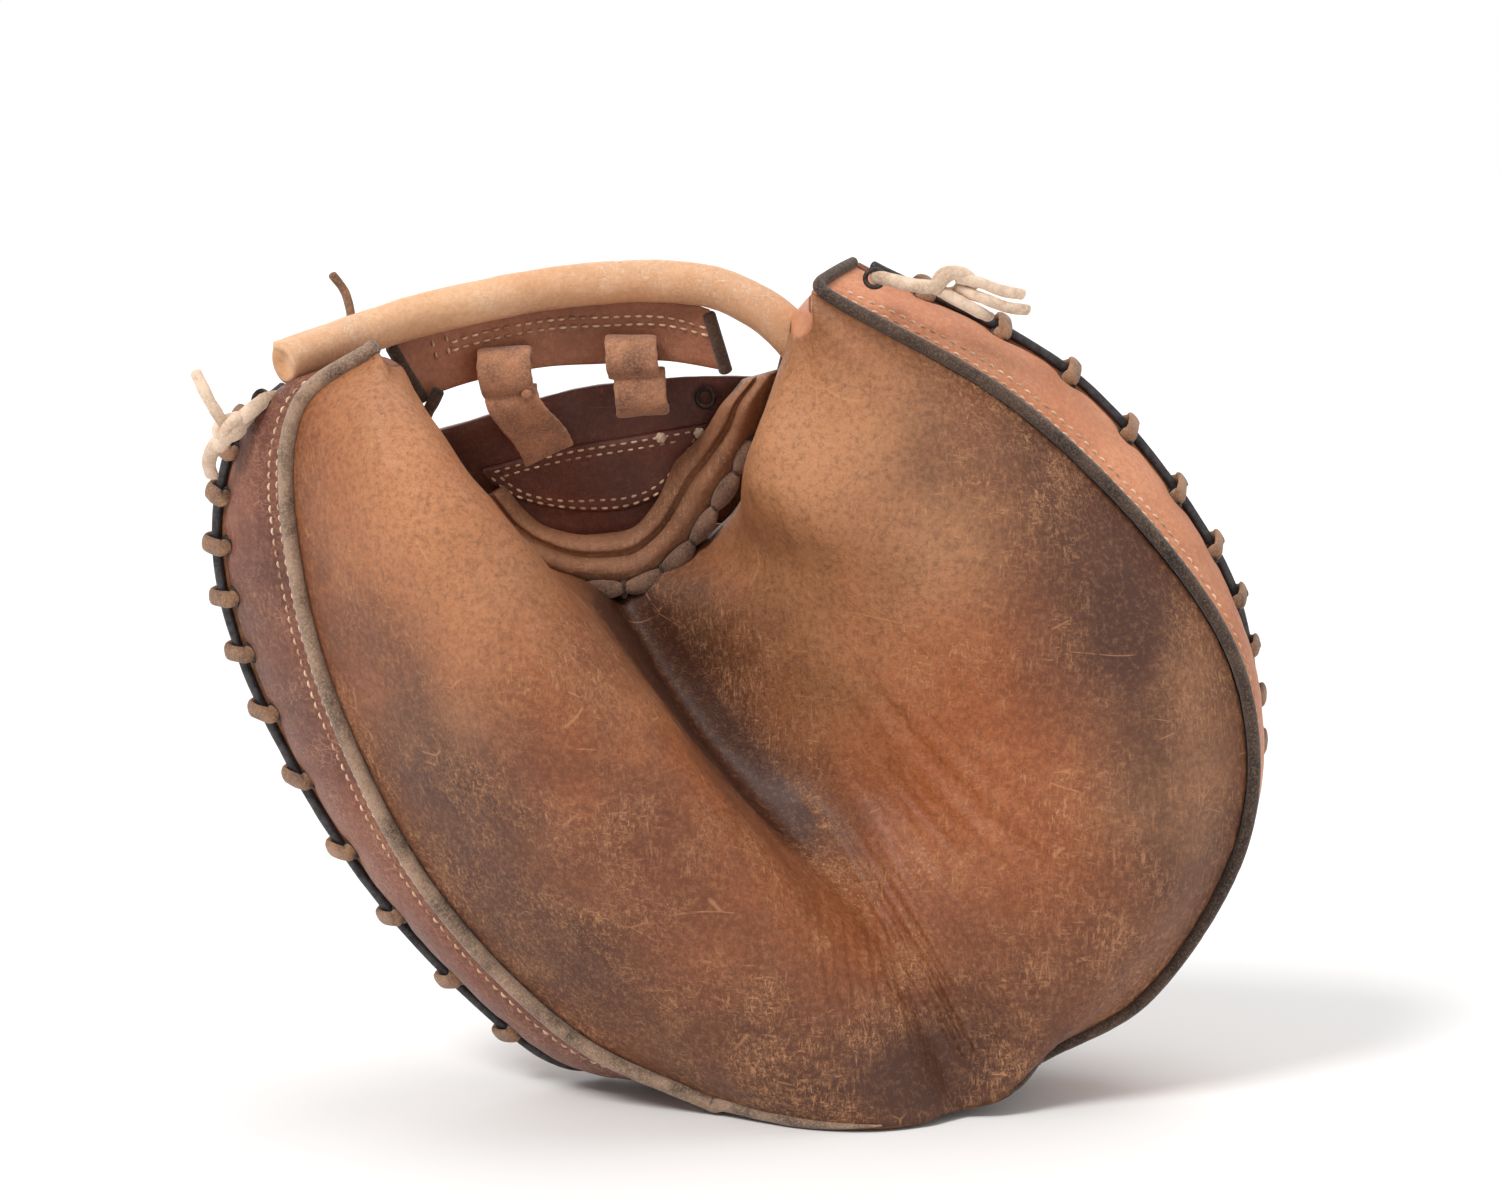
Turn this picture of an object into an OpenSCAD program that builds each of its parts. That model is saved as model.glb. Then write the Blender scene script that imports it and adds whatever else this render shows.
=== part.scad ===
// Baseball catcher's mitt for the left hand. It stands on its heel with the palm facing -Y.
// The mitt is two padded lobes, thumb and finger, that hinge along the pocket crease.
// Guide curves run from the heel to the tips. Every layer lies between the front and back nets.

/* [Leather] */
// Thickness of the palm, wall and back leather
leather_t = 2.4; // [1.8:0.1:2.8]
// Thickness of the web leather
web_t = 2.6; // [2:0.1:3]

/* [Padding] */
// Share of the depth of a lobe that its padding fills
pad_share = 0.46; // [0.4:0.01:0.5]
// Share of the depth that the heel padding fills
heel_share = 0.62; // [0.56:0.01:0.63]

/* [Edges] */
// Diameter of the piping between the palm and the side walls
piping_d = 4.4; // [3.4:0.2:4.6]
// How far the side walls bulge outward
wall_bulge = 4; // [1:0.5:6]
// Diameter of the cord in the back rim
rim_cord_d = 3.2; // [2.6:0.2:3.6]
// Thickness of the rim lacing
lace_d = 4; // [3:0.2:4.4]
// Outer diameter of an eyelet
eyelet_d = 7; // [6:0.5:8]

/* [Web] */
// Diameter of the rolled bar across the top of the web
web_bar_d = 12.6; // [10:0.2:12.8]
// Width of the two loop straps
loop_w = 15.5; // [12:0.5:16]

/* [Wrist strap] */
// Width of the wrist strap
strap_w = 30; // [24:1:34]
// Diameter of the snap cap
snap_d = 13; // [10:0.5:14]

/* [Movement] */
// How far the fingers close toward the thumb
close_angle = 15; // [5:1:16]

/* [Hidden] */

// Gap between neighbouring pieces
gap = 0.35;
// Room that the padding leaves under the leather
pad_gap = 1.8;
// Half of the gap at the hinge plane
hinge_gap = 1;
// Cells of a lobe net along the guide curves and across them
rows = 18;
cols = 12;

// Guide curves of the thumb lobe from the heel to the tip: the front
thumb_piping = [[-6, -12, 4], [-49, -3, 23], [-90, 0, 66], [-117, 0, 121], [-128, -2, 171],
    [-125, -5, 206], [-103, -5, 223]];
thumb_shoulder = [[20, -28, 1.5], [-25, -28, 38], [-65, -28, 79], [-94, -28, 128], [-108, -27, 172],
    [-111, -22, 203], [-101, -12, 221]];
thumb_crest = [[40, -32, 1.5], [8, -40, 51], [-38, -48, 97], [-67, -48, 140], [-87, -42, 177],
    [-99, -30, 203], [-99, -12, 219]];
thumb_lip = [[54, -27, 2], [24, -32, 54], [-13, -35, 108], [-40, -35, 144], [-67, -30, 179],
    [-88, -20, 205], [-98, -4, 218]];
thumb_inner = [[61, -21, 3], [34, -22, 52], [-11, 2, 104], [-42, 14, 145], [-73, 16, 172],
    [-90, 16, 201], [-97, 9, 217]];
// The crease at the bottom of the pocket, then the seam of the lobe beside the web
thumb_crease = [[66, -16, 3], [42, -12, 50], [-8, 41, 98], [-38, 66, 142], [-74, 65, 156],
    [-89, 54, 184], [-97, 25, 214]];
// Guide curves of the thumb lobe: the back
thumb_rim = [[-28, 40, 4], [-58, 26, 10], [-105, 30, 55], [-139, 30, 112], [-152, 26, 158],
    [-146, 20, 195], [-130, 15, 211]];
thumb_back = [[10, 66, 20], [-22, 62, 42], [-68, 72, 74], [-104, 72, 118], [-124, 60, 156],
    [-122, 46, 188], [-112, 32, 211]];
thumb_spine = [[40, 68, 28], [20, 80, 58], [-9, 86, 100], [-38, 84, 142], [-78, 80, 156],
    [-94, 66, 186], [-100, 38, 211]];
// Guide curves of the finger lobe from the heel to the tip: the front
finger_piping = [[89, 5, 14], [122, 8, 33], [148, 10, 77], [148, 12, 122], [125, 12, 162],
    [80, 10, 206], [22, 8, 239]];
finger_shoulder = [[84, -8, 10], [108, -10, 38], [128, -10, 79], [126, -8, 120], [105, -6, 156],
    [67, -2, 196], [22, 2, 234]];
finger_face = [[80, -14, 7], [92, -14, 45], [104, -12, 83], [98, -6, 120], [83, -4, 152],
    [53, -2, 187], [22, 4, 229]];
finger_inner = [[75, -16, 5], [73, -12, 49], [70, -2, 90], [62, 4, 124], [53, 2, 150],
    [34, 0, 180], [20, 9, 226]];
finger_roll = [[71, -16, 4], [54, -11, 50], [32, 20, 95], [12, 28, 134], [16, 22, 157],
    [4, 14, 186], [17, 18, 225]];
finger_crease = [[66, -16, 3], [42, -12, 50], [-8, 41, 98], [-38, 66, 142], [-12, 64, 158],
    [4, 58, 179], [16, 40, 229]];
// Guide curves of the finger lobe: the back
finger_rim = [[93, 32, 16], [127, 38, 34], [151, 42, 80], [154, 44, 120], [140, 42, 162],
    [98, 38, 212], [36, 28, 246]];
finger_back = [[74, 60, 24], [90, 70, 46], [88, 80, 88], [80, 80, 128], [66, 76, 160],
    [48, 68, 196], [24, 46, 236]];
finger_spine = [[40, 68, 28], [20, 80, 58], [-9, 86, 100], [-38, 84, 142], [-14, 82, 162],
    [4, 76, 184], [16, 50, 228]];

// The hinge of the two lobes: a line at the back of the crease, from the crotch to the heel
hinge_top = [-38, 82, 142];
hinge_foot = [64, 60, 12];

// Centre line of the web bar from the thumb tip to the finger tip
bar_line = [[-131, 9, 219], [-104, 31, 227], [-79, 41, 233], [-56, 46, 237], [-32, 48, 239],
    [-10, 46, 238], [4, 44, 233], [12, 43, 227]];
// Upper and lower edges of the web band
band_top = [[-102, 36, 218], [-79, 44, 226], [-58, 49, 230], [-40, 51, 231], [-22, 50, 231],
    [-7, 47, 227]];
band_bottom = [[-94, 42, 204], [-79, 47, 209], [-58, 51, 213], [-40, 52, 214], [-22, 51, 215],
    [-4, 48, 212]];
// Upper and lower edges of the web panel
panel_top = [[-88, 60, 194], [-73, 61, 198], [-54, 62, 204], [-36, 63, 207], [-15, 63, 209],
    [2, 61, 209]];
panel_bottom = [[-82, 69, 181], [-70, 71, 169], [-53, 72, 162], [-37, 72, 161], [-20, 71, 167],
    [-4, 69, 187]];
// The palm edge round the crotch, where the web is laced on
crotch_line = [[-70, 66, 158], [-57, 66, 150], [-43, 66, 147], [-30, 66, 148], [-20, 66, 155],
    [-13, 64, 164], [-7, 62, 174], [-1, 60, 183]];
// Places of the barrel stitches along that edge
crotch_stitches = [[-57, 61, 154], [-45, 61, 150], [-32, 61, 151], [-21, 61, 157], [-13, 60, 165],
    [-7, 58, 174], [-2, 56, 184]];
// Outline of the opening in the back for the hand, seen from behind
hand_hole_line = [[-18, -10], [-22, 30], [-20, 56], [-10, 82], [6, 94], [28, 92], [50, 76],
    [66, 50], [70, 24], [66, -10]];
// Routes of the two loop straps, from the slot in the band to the panel
loop_left = [[-70, 43, 222], [-70, 41, 216], [-68, 40, 209], [-66, 44, 204], [-62, 51, 196],
    [-57, 56, 189]];
loop_right = [[-32, 46, 226], [-32, 44, 220], [-31, 43, 214], [-30, 47, 208], [-29, 53, 202],
    [-28, 57, 196]];

// Places of the lacing along each rim, as shares of the rim's length
thumb_lacing_places = [for (k = [0:11]) 0.2 + 0.06 * k];
finger_lacing_places = [for (k = [0:14]) 0.12 + 0.059 * k];

function mix(a, b, t) = a + (b - a) * t;
function clamp(x, low, high) = min(max(x, low), high);
function unit(v) = v / max(norm(v), 1e-9);

// A smooth curve through the points of a list, with s from 0 to 1
function curve(points, s) =
    let (n = len(points) - 1, t = clamp(s, 0, 1) * n, i = min(floor(t), n - 1), f = t - i)
    let (b = points[i], c = points[i + 1])
    let (a = i > 0 ? points[i - 1] : 2 * b - c)
    let (d = i + 2 <= n ? points[i + 2] : 2 * c - b)
    0.5 * (2 * b + (c - a) * f + (2 * a - 5 * b + 4 * c - d) * f * f
        + (3 * b - a - 3 * c + d) * f * f * f);
function net(lines, u, v) = curve([for (line = lines) curve(line, u)], v);
function slope_u(lines, u, v) =
    net(lines, min(u + 0.01, 1), v) - net(lines, max(u - 0.01, 0), v);
function slope_v(lines, u, v) =
    net(lines, u, min(v + 0.01, 1)) - net(lines, u, max(v - 0.01, 0));

// A lobe is [front guide curves, back guide curves, sign of its inward normal]
thumb_lobe = [
    [thumb_piping, thumb_shoulder, thumb_crest, thumb_lip, thumb_inner, thumb_crease],
    [thumb_rim, thumb_back, thumb_spine], 1];
finger_lobe = [
    [finger_piping, finger_shoulder, finger_face, finger_inner, finger_roll, finger_crease],
    [finger_rim, finger_back, finger_spine], -1];
function front_in(lobe, u, v) =
    unit(cross(slope_u(lobe[0], u, v), slope_v(lobe[0], u, v))) * lobe[2];
function back_out(lobe, u, v) =
    unit(cross(slope_u(lobe[1], u, v), slope_v(lobe[1], u, v))) * lobe[2];
function front_at(lobe, u, v, depth) = net(lobe[0], u, v) + front_in(lobe, u, v) * depth;
function back_at(lobe, u, v, depth) = net(lobe[1], u, v) - back_out(lobe, u, v) * depth;
// A point inside the lobe, from w = 0 under the palm leather to w = 1 inside the back shell
function inside_at(lobe, u, v, w) =
    mix(front_at(lobe, u, v, leather_t + pad_gap), back_at(lobe, u, v, leather_t + pad_gap), w);
// The side wall runs from the piping to the rim and bulges outward, less so at its ends
function wall_out(lobe, u, w) =
    unit(cross(slope_u(lobe[0], u, 0), net(lobe[1], u, 0) - net(lobe[0], u, 0))) * lobe[2];
function wall_at(lobe, u, w, depth) =
    mix(net(lobe[0], u, 0), net(lobe[1], u, 0), w)
    + wall_out(lobe, u, w) * (wall_bulge * min(1, 0.3 + 8 * min(u, 1 - u)) * sin(180 * w) - depth);

// Signed volume of a triangle mesh, for choosing which way its faces turn
function volume_of(p, faces) =
    [for (f = faces) cross(p[f[0]], p[f[1]]) * p[f[2]]] * [for (f = faces) 1];

// Closed solid between two grids of points with the same rows and columns
module shell(top, bottom) {
    m = len(top);
    n = len(top[0]);
    points = [for (r = top) each r, for (r = bottom) each r];
    function id(i, j, k) = k * m * n + i * n + j;
    faces = [
        for (i = [0:m - 2], j = [0:n - 2]) each [
            [id(i, j, 0), id(i + 1, j, 0), id(i + 1, j + 1, 0)],
            [id(i, j, 0), id(i + 1, j + 1, 0), id(i, j + 1, 0)],
            [id(i, j, 1), id(i + 1, j + 1, 1), id(i + 1, j, 1)],
            [id(i, j, 1), id(i, j + 1, 1), id(i + 1, j + 1, 1)]],
        for (i = [0:m - 2]) each [
            [id(i, 0, 0), id(i, 0, 1), id(i + 1, 0, 1)],
            [id(i, 0, 0), id(i + 1, 0, 1), id(i + 1, 0, 0)],
            [id(i, n - 1, 0), id(i + 1, n - 1, 1), id(i, n - 1, 1)],
            [id(i, n - 1, 0), id(i + 1, n - 1, 0), id(i + 1, n - 1, 1)]],
        for (j = [0:n - 2]) each [
            [id(0, j, 0), id(0, j + 1, 1), id(0, j, 1)],
            [id(0, j, 0), id(0, j + 1, 0), id(0, j + 1, 1)],
            [id(m - 1, j, 0), id(m - 1, j, 1), id(m - 1, j + 1, 1)],
            [id(m - 1, j, 0), id(m - 1, j + 1, 1), id(m - 1, j + 1, 0)]]];
    turned = [for (f = faces) [f[0], f[2], f[1]]];
    polyhedron(points, volume_of(points, faces) > 0 ? turned : faces);
}

// Round tube through a list of points; ref is a direction that the path never follows
module tube(path, radius, ref = [0, 1, 0], sides = 8) {
    m = len(path);
    rings = [for (i = [0:m - 1])
        let (t = unit(path[min(i + 1, m - 1)] - path[max(i - 1, 0)]), a = unit(cross(t, ref)))
        let (b = cross(a, t))
        [for (k = [0:sides - 1])
            path[i] + radius * (a * cos(360 * k / sides) + b * sin(360 * k / sides))]];
    points = [path[0], path[m - 1], for (r = rings) each r];
    function id(i, k) = 2 + i * sides + (k % sides);
    faces = [
        for (i = [0:m - 2], k = [0:sides - 1]) each [
            [id(i, k), id(i + 1, k), id(i + 1, k + 1)],
            [id(i, k), id(i + 1, k + 1), id(i, k + 1)]],
        for (k = [0:sides - 1]) each [
            [0, id(0, k), id(0, k + 1)],
            [1, id(m - 1, k + 1), id(m - 1, k)]]];
    turned = [for (f = faces) [f[0], f[2], f[1]]];
    polyhedron(points, volume_of(points, faces) > 0 ? turned : faces);
}

// Flat strap along a path; its width direction turns from across to across_end
module ribbon(path, across, across_end, width, thickness, steps = 14) {
    line = [for (i = [0:steps]) curve(path, i / steps)];
    function side(i) = unit(mix(across, across_end, i / steps));
    function face_out(i) = unit(cross(side(i), line[min(i + 1, steps)] - line[max(i - 1, 0)]));
    function layer(lift) = [for (i = [0:steps]) [for (j = [-1:1])
        line[i] + side(i) * width * j / 2 + face_out(i) * lift]];
    shell(layer(thickness / 2), layer(-thickness / 2));
}

// Places its children at a point with their Z axis along a direction
module facing(point, direction) {
    v = unit(direction);
    translate(point)
        rotate([0, acos(v[2]), atan2(v[1], v[0])])
            children();
}

// Everything on the far side of the hinge plane, turned back by an angle about the hinge.
// The plane holds the hinge line and the Y direction.
module hinge_side(angle, side) {
    axis = unit(hinge_foot - hinge_top);
    middle = (hinge_top + hinge_foot) / 2;
    lean = atan2(hinge_foot[0] - hinge_top[0], hinge_top[2] - hinge_foot[2]);
    size = 600;
    translate(middle)
        rotate(a = angle, v = axis)
            rotate([0, -lean, 0])
                translate([side > 0 ? -hinge_gap : hinge_gap - size, -size / 2, -size / 2])
                    cube(size);
}

module keep_thumb_side() {
    difference() {
        children();
        hinge_side(0, 1);
    }
}

module keep_finger_side() {
    difference() {
        children();
        hinge_side(-close_angle - 0.5, -1);
    }
}

// Layer of a lobe over a part of its net, at two depths given as functions of the net
module palm_layer(lobe, u0 = 0, u1 = 1, v0 = 0.04, v1 = 1) {
    us = [for (i = [0:rows]) mix(u0, u1, i / rows)];
    vs = [for (j = [0:cols]) mix(v0, v1, j / cols)];
    shell([for (u = us) [for (v = vs) front_at(lobe, u, v, 0)]],
        [for (u = us) [for (v = vs) front_at(lobe, u, v, leather_t)]]);
}

module back_layer(lobe, u0 = 0, u1 = 1, v0 = 0.04, v1 = 1) {
    us = [for (i = [0:rows]) mix(u0, u1, i / rows)];
    vs = [for (j = [0:cols]) mix(v0, v1, j / cols)];
    shell([for (u = us) [for (v = vs) back_at(lobe, u, v, 0)]],
        [for (u = us) [for (v = vs) back_at(lobe, u, v, leather_t)]]);
}

module inner_layer(lobe, w0, w1, u0, u1, v0, v1, m = 10, n = 8) {
    us = [for (i = [0:m]) mix(u0, u1, i / m)];
    vs = [for (j = [0:n]) mix(v0, v1, j / n)];
    shell([for (u = us) [for (v = vs) inside_at(lobe, u, v, w0)]],
        [for (u = us) [for (v = vs) inside_at(lobe, u, v, w1)]]);
}

// Side wall with the cap that closes the tip of the lobe
module side_layer(lobe) {
    us = [for (i = [0:rows]) i / rows];
    ws = [for (j = [0:5]) mix(0.1, 0.92, j / 5)];
    shell([for (u = us) [for (w = ws) wall_at(lobe, u, w, 0)]],
        [for (u = us) [for (w = ws) wall_at(lobe, u, w, leather_t)]]);
}

// Cap over the end of a lobe, from the palm leather to the back shell
module tip_layer(lobe) {
    vs = [for (j = [0:8]) mix(0.3, 0.97, j / 8)];
    ws = [for (k = [0:5]) mix(0.1, 0.9, k / 5)];
    function tip_at(v, w, height) =
        mix(net(lobe[0], 1, v), net(lobe[1], 1, v), w)
        + unit(mix(slope_u(lobe[0], 1, v), slope_u(lobe[1], 1, v), w))
            * (gap + 1.8 + height + 2.5 * sin(180 * w));
    shell([for (v = vs) [for (w = ws) tip_at(v, w, 0)]],
        [for (v = vs) [for (w = ws) tip_at(v, w, leather_t)]]);
}

// Piping along the front edge of a lobe
module edge_piping(lobe) {
    path = [for (i = [0:32]) wall_at(lobe, i / 32, 0, -piping_d / 4)];
    tube(path, piping_d / 2);
}

// Cord along the back rim of a lobe
function rim_at(lobe, u, outward) =
    net(lobe[1], u, 0) + unit(wall_out(lobe, u, 1) + back_out(lobe, u, 0)) * outward;
module edge_cord(lobe, u0, u1) {
    path = [for (i = [0:30]) rim_at(lobe, mix(u0, u1, i / 30), rim_cord_d / 2 + 0.7)];
    tube(path, rim_cord_d / 2);
}

// One crossing of the rim lacing: out of the eyelet, over the rim cord and onto the back
module lace_crossing(lobe, u) {
    lift = lace_d / 2 + 0.4;
    start = wall_at(lobe, u, 0.72, -lift);
    over = rim_at(lobe, u + 0.006, rim_cord_d + 1.2 + lace_d / 2);
    end = back_at(lobe, u + 0.012, 0.16, -lift - 0.8);
    middle = back_at(lobe, u + 0.01, 0.08, -lift - 1.6);
    path = [for (i = [0:6]) curve([start, over, middle, end], i / 6)];
    tube(path, lace_d / 2, slope_u(lobe[1], u, 0), 8);
}

module eyelet(lobe, u) {
    facing(wall_at(lobe, u, 0.5, -0.9), wall_out(lobe, u, 0.5))
        rotate_extrude($fn = 32)
            translate([eyelet_d / 2 - 1, 0])
                circle(d = 1, $fn = 16);
}

module palm_leather_thumb() {
    color([0.58, 0.38, 0.26])
        keep_thumb_side()
            palm_layer(thumb_lobe);
}

module palm_leather_finger() {
    color([0.6, 0.42, 0.28])
        keep_finger_side()
            palm_layer(finger_lobe);
}

// The part of the palm leather that folds when the mitt closes
module palm_crease_strip() {
    color([0.42, 0.27, 0.18])
        intersection() {
            palm_layer(finger_lobe, 0, 0.5, 0.3, 0.99);
            translate([-0.8, 0, -0.6])
                hinge_side(-close_angle - 0.5, -1);
            translate([1.6, 0, 1.2])
                hinge_side(0, 1);
        }
}

module thumb_pad() {
    color([0.86, 0.82, 0.74])
        keep_thumb_side()
            inner_layer(thumb_lobe, 0, pad_share, 0.27, 0.96, 0.08, 0.9);
}

module finger_pad() {
    color([0.86, 0.82, 0.74])
        keep_finger_side()
            inner_layer(finger_lobe, 0, pad_share, 0.27, 0.96, 0.08, 0.9);
}

module heel_pad_thumb() {
    color([0.8, 0.76, 0.68])
        keep_thumb_side()
            inner_layer(thumb_lobe, 0, heel_share, 0.02, 0.26, 0.1, 0.96, 6, 8);
}

module heel_pad_finger() {
    color([0.8, 0.76, 0.68])
        keep_finger_side()
            inner_layer(finger_lobe, 0, heel_share, 0.02, 0.26, 0.1, 0.96, 6, 8);
}

// Padded roll at the foot of the heel, flat where the mitt stands
module heel_roll() {
    vs = [for (j = [0:10]) mix(0.02, 0.97, j / 10)];
    ws = [for (k = [0:5]) mix(-0.02, 0.7, k / 5)];
    foot = [for (v = vs) [for (w = ws) inside_at(thumb_lobe, 0, v, w)]];
    color([0.5, 0.33, 0.22])
        keep_thumb_side()
            difference() {
                shell([for (r = foot) [for (p = r) p + [0, 0, -gap]]],
                    [for (r = foot) [for (p = r) [p[0], p[1], -6]]]);
                translate([-300, -300, -20])
                    cube([600, 600, 20]);
            }
}

module hand_lining_thumb() {
    color([0.72, 0.55, 0.38])
        keep_thumb_side()
            inner_layer(thumb_lobe, heel_share + 0.02, heel_share + 0.06, 0.02, 0.7, 0.12, 0.96);
}

module hand_lining_finger() {
    color([0.72, 0.55, 0.38])
        keep_finger_side()
            inner_layer(finger_lobe, heel_share + 0.02, heel_share + 0.06, 0.02, 0.7, 0.12, 0.96);
}

// Pocket for the thumb or the fingers inside a lobe, open toward the heel
module stall(lobe, v0, v1) {
    difference() {
        inner_layer(lobe, heel_share + 0.09, 0.97, 0.52, 0.9, v0, v1, 8, 6);
        inner_layer(lobe, heel_share + 0.14, 0.9, 0.48, 0.86, v0 + 0.05, v1 - 0.05, 8, 6);
    }
}

module thumb_stall() {
    color([0.66, 0.5, 0.34])
        stall(thumb_lobe, 0.14, 0.74);
}

module finger_stall() {
    color([0.66, 0.5, 0.34])
        stall(finger_lobe, 0.1, 0.84);
}

// Back of a lobe with the opening for the hand cut out
module back_half(lobe) {
    difference() {
        back_layer(lobe, 0.05, 1, 0.11, 0.985);
        translate([0, 130, 0])
            rotate([90, 0, 0])
                linear_extrude(100)
                    polygon([for (i = [0:30]) curve(hand_hole_line, i / 30)]);
    }
}

module back_shell_thumb() {
    color([0.55, 0.33, 0.2])
        keep_thumb_side()
            back_half(thumb_lobe);
}

module back_shell_finger() {
    color([0.6, 0.38, 0.24])
        keep_finger_side()
            back_half(finger_lobe);
}

module side_wall_thumb() {
    color([0.47, 0.28, 0.2])
        side_layer(thumb_lobe);
}

module side_wall_finger() {
    color([0.76, 0.52, 0.37])
        side_layer(finger_lobe);
}

module tip_cap_thumb() {
    color([0.47, 0.28, 0.2])
        tip_layer(thumb_lobe);
}

module tip_cap_finger() {
    color([0.76, 0.52, 0.37])
        tip_layer(finger_lobe);
}

module piping_thumb() {
    color([0.5, 0.42, 0.34])
        edge_piping(thumb_lobe);
}

module piping_finger() {
    color([0.32, 0.25, 0.2])
        edge_piping(finger_lobe);
}

module rim_cord_thumb() {
    color([0.27, 0.25, 0.27])
        edge_cord(thumb_lobe, 0.14, 0.97);
}

module rim_cord_finger() {
    color([0.27, 0.25, 0.27])
        edge_cord(finger_lobe, 0.06, 0.98);
}

module edge_lacing_thumb() {
    color([0.48, 0.36, 0.26])
        for (u = thumb_lacing_places)
            lace_crossing(thumb_lobe, u);
}

module edge_lacing_finger() {
    color([0.5, 0.38, 0.28])
        for (u = finger_lacing_places)
            lace_crossing(finger_lobe, u);
}

module eyelets_thumb() {
    color([0.25, 0.24, 0.25])
        for (u = thumb_lacing_places)
            eyelet(thumb_lobe, u);
}

module eyelets_finger() {
    color([0.25, 0.24, 0.25])
        for (u = finger_lacing_places)
            eyelet(finger_lobe, u);
}

module web_bar() {
    path = [for (i = [0:24]) curve(bar_line, i / 24)];
    color([0.87, 0.68, 0.5])
        tube(path, web_bar_d / 2, [0, 1, 0], 14);
}

// Sheet of the web between an upper and a lower edge
function sheet_at(top, bottom, s, t, depth) =
    let (across = mix(curve(top, min(s + 0.02, 1)), curve(bottom, min(s + 0.02, 1)), t)
        - mix(curve(top, max(s - 0.02, 0)), curve(bottom, max(s - 0.02, 0)), t))
    mix(curve(top, s), curve(bottom, s), t)
    + unit(cross(across, curve(top, s) - curve(bottom, s))) * -depth;
module sheet(top, bottom, s0, s1, t0, t1, d0, d1, m = 16, n = 4) {
    ss = [for (i = [0:m]) mix(s0, s1, i / m)];
    ts = [for (j = [0:n]) mix(t0, t1, j / n)];
    shell([for (s = ss) [for (t = ts) sheet_at(top, bottom, s, t, d0)]],
        [for (s = ss) [for (t = ts) sheet_at(top, bottom, s, t, d1)]]);
}

module web_band() {
    color([0.65, 0.4, 0.26])
        sheet(band_top, band_bottom, 0, 1, 0, 1, 0, web_t);
}

module web_panel() {
    color([0.43, 0.24, 0.16])
        sheet(panel_top, panel_bottom, 0, 1, 0, 1, 0, web_t);
}

// Half-moon reinforcement sewn on the front of the web panel
module half_moon_patch() {
    ss = [for (i = [0:14]) mix(0.1, 0.88, i / 14)];
    function low(s) = 0.5 + 0.36 * sin(180 * (s - 0.1) / 0.78);
    function grid(depth) = [for (s = ss) [for (j = [0:4])
        sheet_at(panel_top, panel_bottom, s, mix(0.36, low(s), j / 4), depth)]];
    color([0.4, 0.22, 0.15])
        shell(grid(-0.4), grid(-1.8));
}

module loop_strap_left() {
    color([0.59, 0.45, 0.34])
        ribbon(loop_left, [1, 0, 0.12], [1, 0, 0.3], loop_w, 2);
}

module loop_strap_right() {
    color([0.62, 0.47, 0.36])
        ribbon(loop_right, [1, 0, 0], [1, 0, 0.06], loop_w, 2);
}

// Leather lip that binds the palm edge round the crotch of the web
module crotch_binding() {
    centre = [-36, 0, 196];
    ss = [for (i = [0:18]) i / 18];
    function lip(s, rise, back) =
        let (p = curve(crotch_line, s), up = unit([centre[0] - p[0], 0, centre[2] - p[2]]))
        p + up * rise + [0, back, 0];
    color([0.74, 0.52, 0.37])
        shell([for (s = ss) [lip(s, 5.2, 2), lip(s, 10, 1)]],
            [for (s = ss) [lip(s, 5.2, 5), lip(s, 10, 4)]]);
}

// Barrel-shaped stitches that lace the web to the palm edge
module crotch_lacing() {
    last = len(crotch_stitches) - 1;
    half = 5;
    radius = 2;
    color([0.47, 0.37, 0.29])
        for (k = [0:last])
            facing(crotch_stitches[k],
                crotch_stitches[min(k + 1, last)] - crotch_stitches[max(k - 1, 0)])
                rotate_extrude($fn = 32)
                    polygon([[0, -half], [radius * 0.7, -half], [radius, -half / 2],
                        [radius, half / 2], [radius * 0.7, half], [0, half]]);
}

// Short lace of a given thickness through a few points
module lace(points, d, ref = [0, 1, 0]) {
    tube([for (i = [0:8]) curve(points, i / 8)], d / 2, ref);
}

// Rawhide knot on the rim of the thumb, with its short tail
module thumb_knot() {
    color([0.88, 0.78, 0.68]) {
        lace([[-155, 5, 190], [-150, 3, 198], [-148, 4, 206]], 6.4);
        lace([[-150, 3, 207], [-153, 3, 212], [-158, 4, 216]], 3.6);
    }
}

// Rawhide knot behind the piping of the finger tip, with two tails
module finger_knot() {
    color([0.78, 0.65, 0.5]) {
        lace([[45, 12, 247], [54, 10, 245], [62, 13, 245]], 5);
        lace([[64, 9, 242], [74, 9, 240], [83, 11, 237]], 3.6);
        lace([[64, 16, 243], [73, 16, 238], [84, 17, 233]], 3.6);
    }
}

module tip_lace_end() {
    color([0.45, 0.38, 0.32])
        lace([[-114, 38, 237], [-116, 38, 241], [-119, 37, 245]], 3);
}

module web_lace_end() {
    color([0.25, 0.2, 0.18])
        lace([[-87, 40, 203], [-86, 40, 200], [-84, 41, 197]], 3.4);
}

// The wrist strap follows the back of the mitt, from its sewn end on the little finger side
// to the snap on the thumb side. Its tab is sewn to the thumb side.
sewn_lift = leather_t / 2 + 1.6;
snap_lift = sewn_lift + leather_t + 2.8;
strap_line = [
    back_at(finger_lobe, 0.18, 0.34, -sewn_lift),
    back_at(finger_lobe, 0.15, 0.5, -sewn_lift - 1),
    back_at(finger_lobe, 0.12, 0.7, -snap_lift + 2),
    back_at(finger_lobe, 0.09, 0.9, -snap_lift),
    back_at(thumb_lobe, 0.09, 0.84, -snap_lift - 0.4)];
tab_line = [
    back_at(thumb_lobe, 0.19, 0.36, -sewn_lift - 2),
    back_at(thumb_lobe, 0.13, 0.66, -sewn_lift),
    back_at(thumb_lobe, 0.1, 0.8, -sewn_lift),
    back_at(thumb_lobe, 0.08, 0.92, -sewn_lift)];
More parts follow.
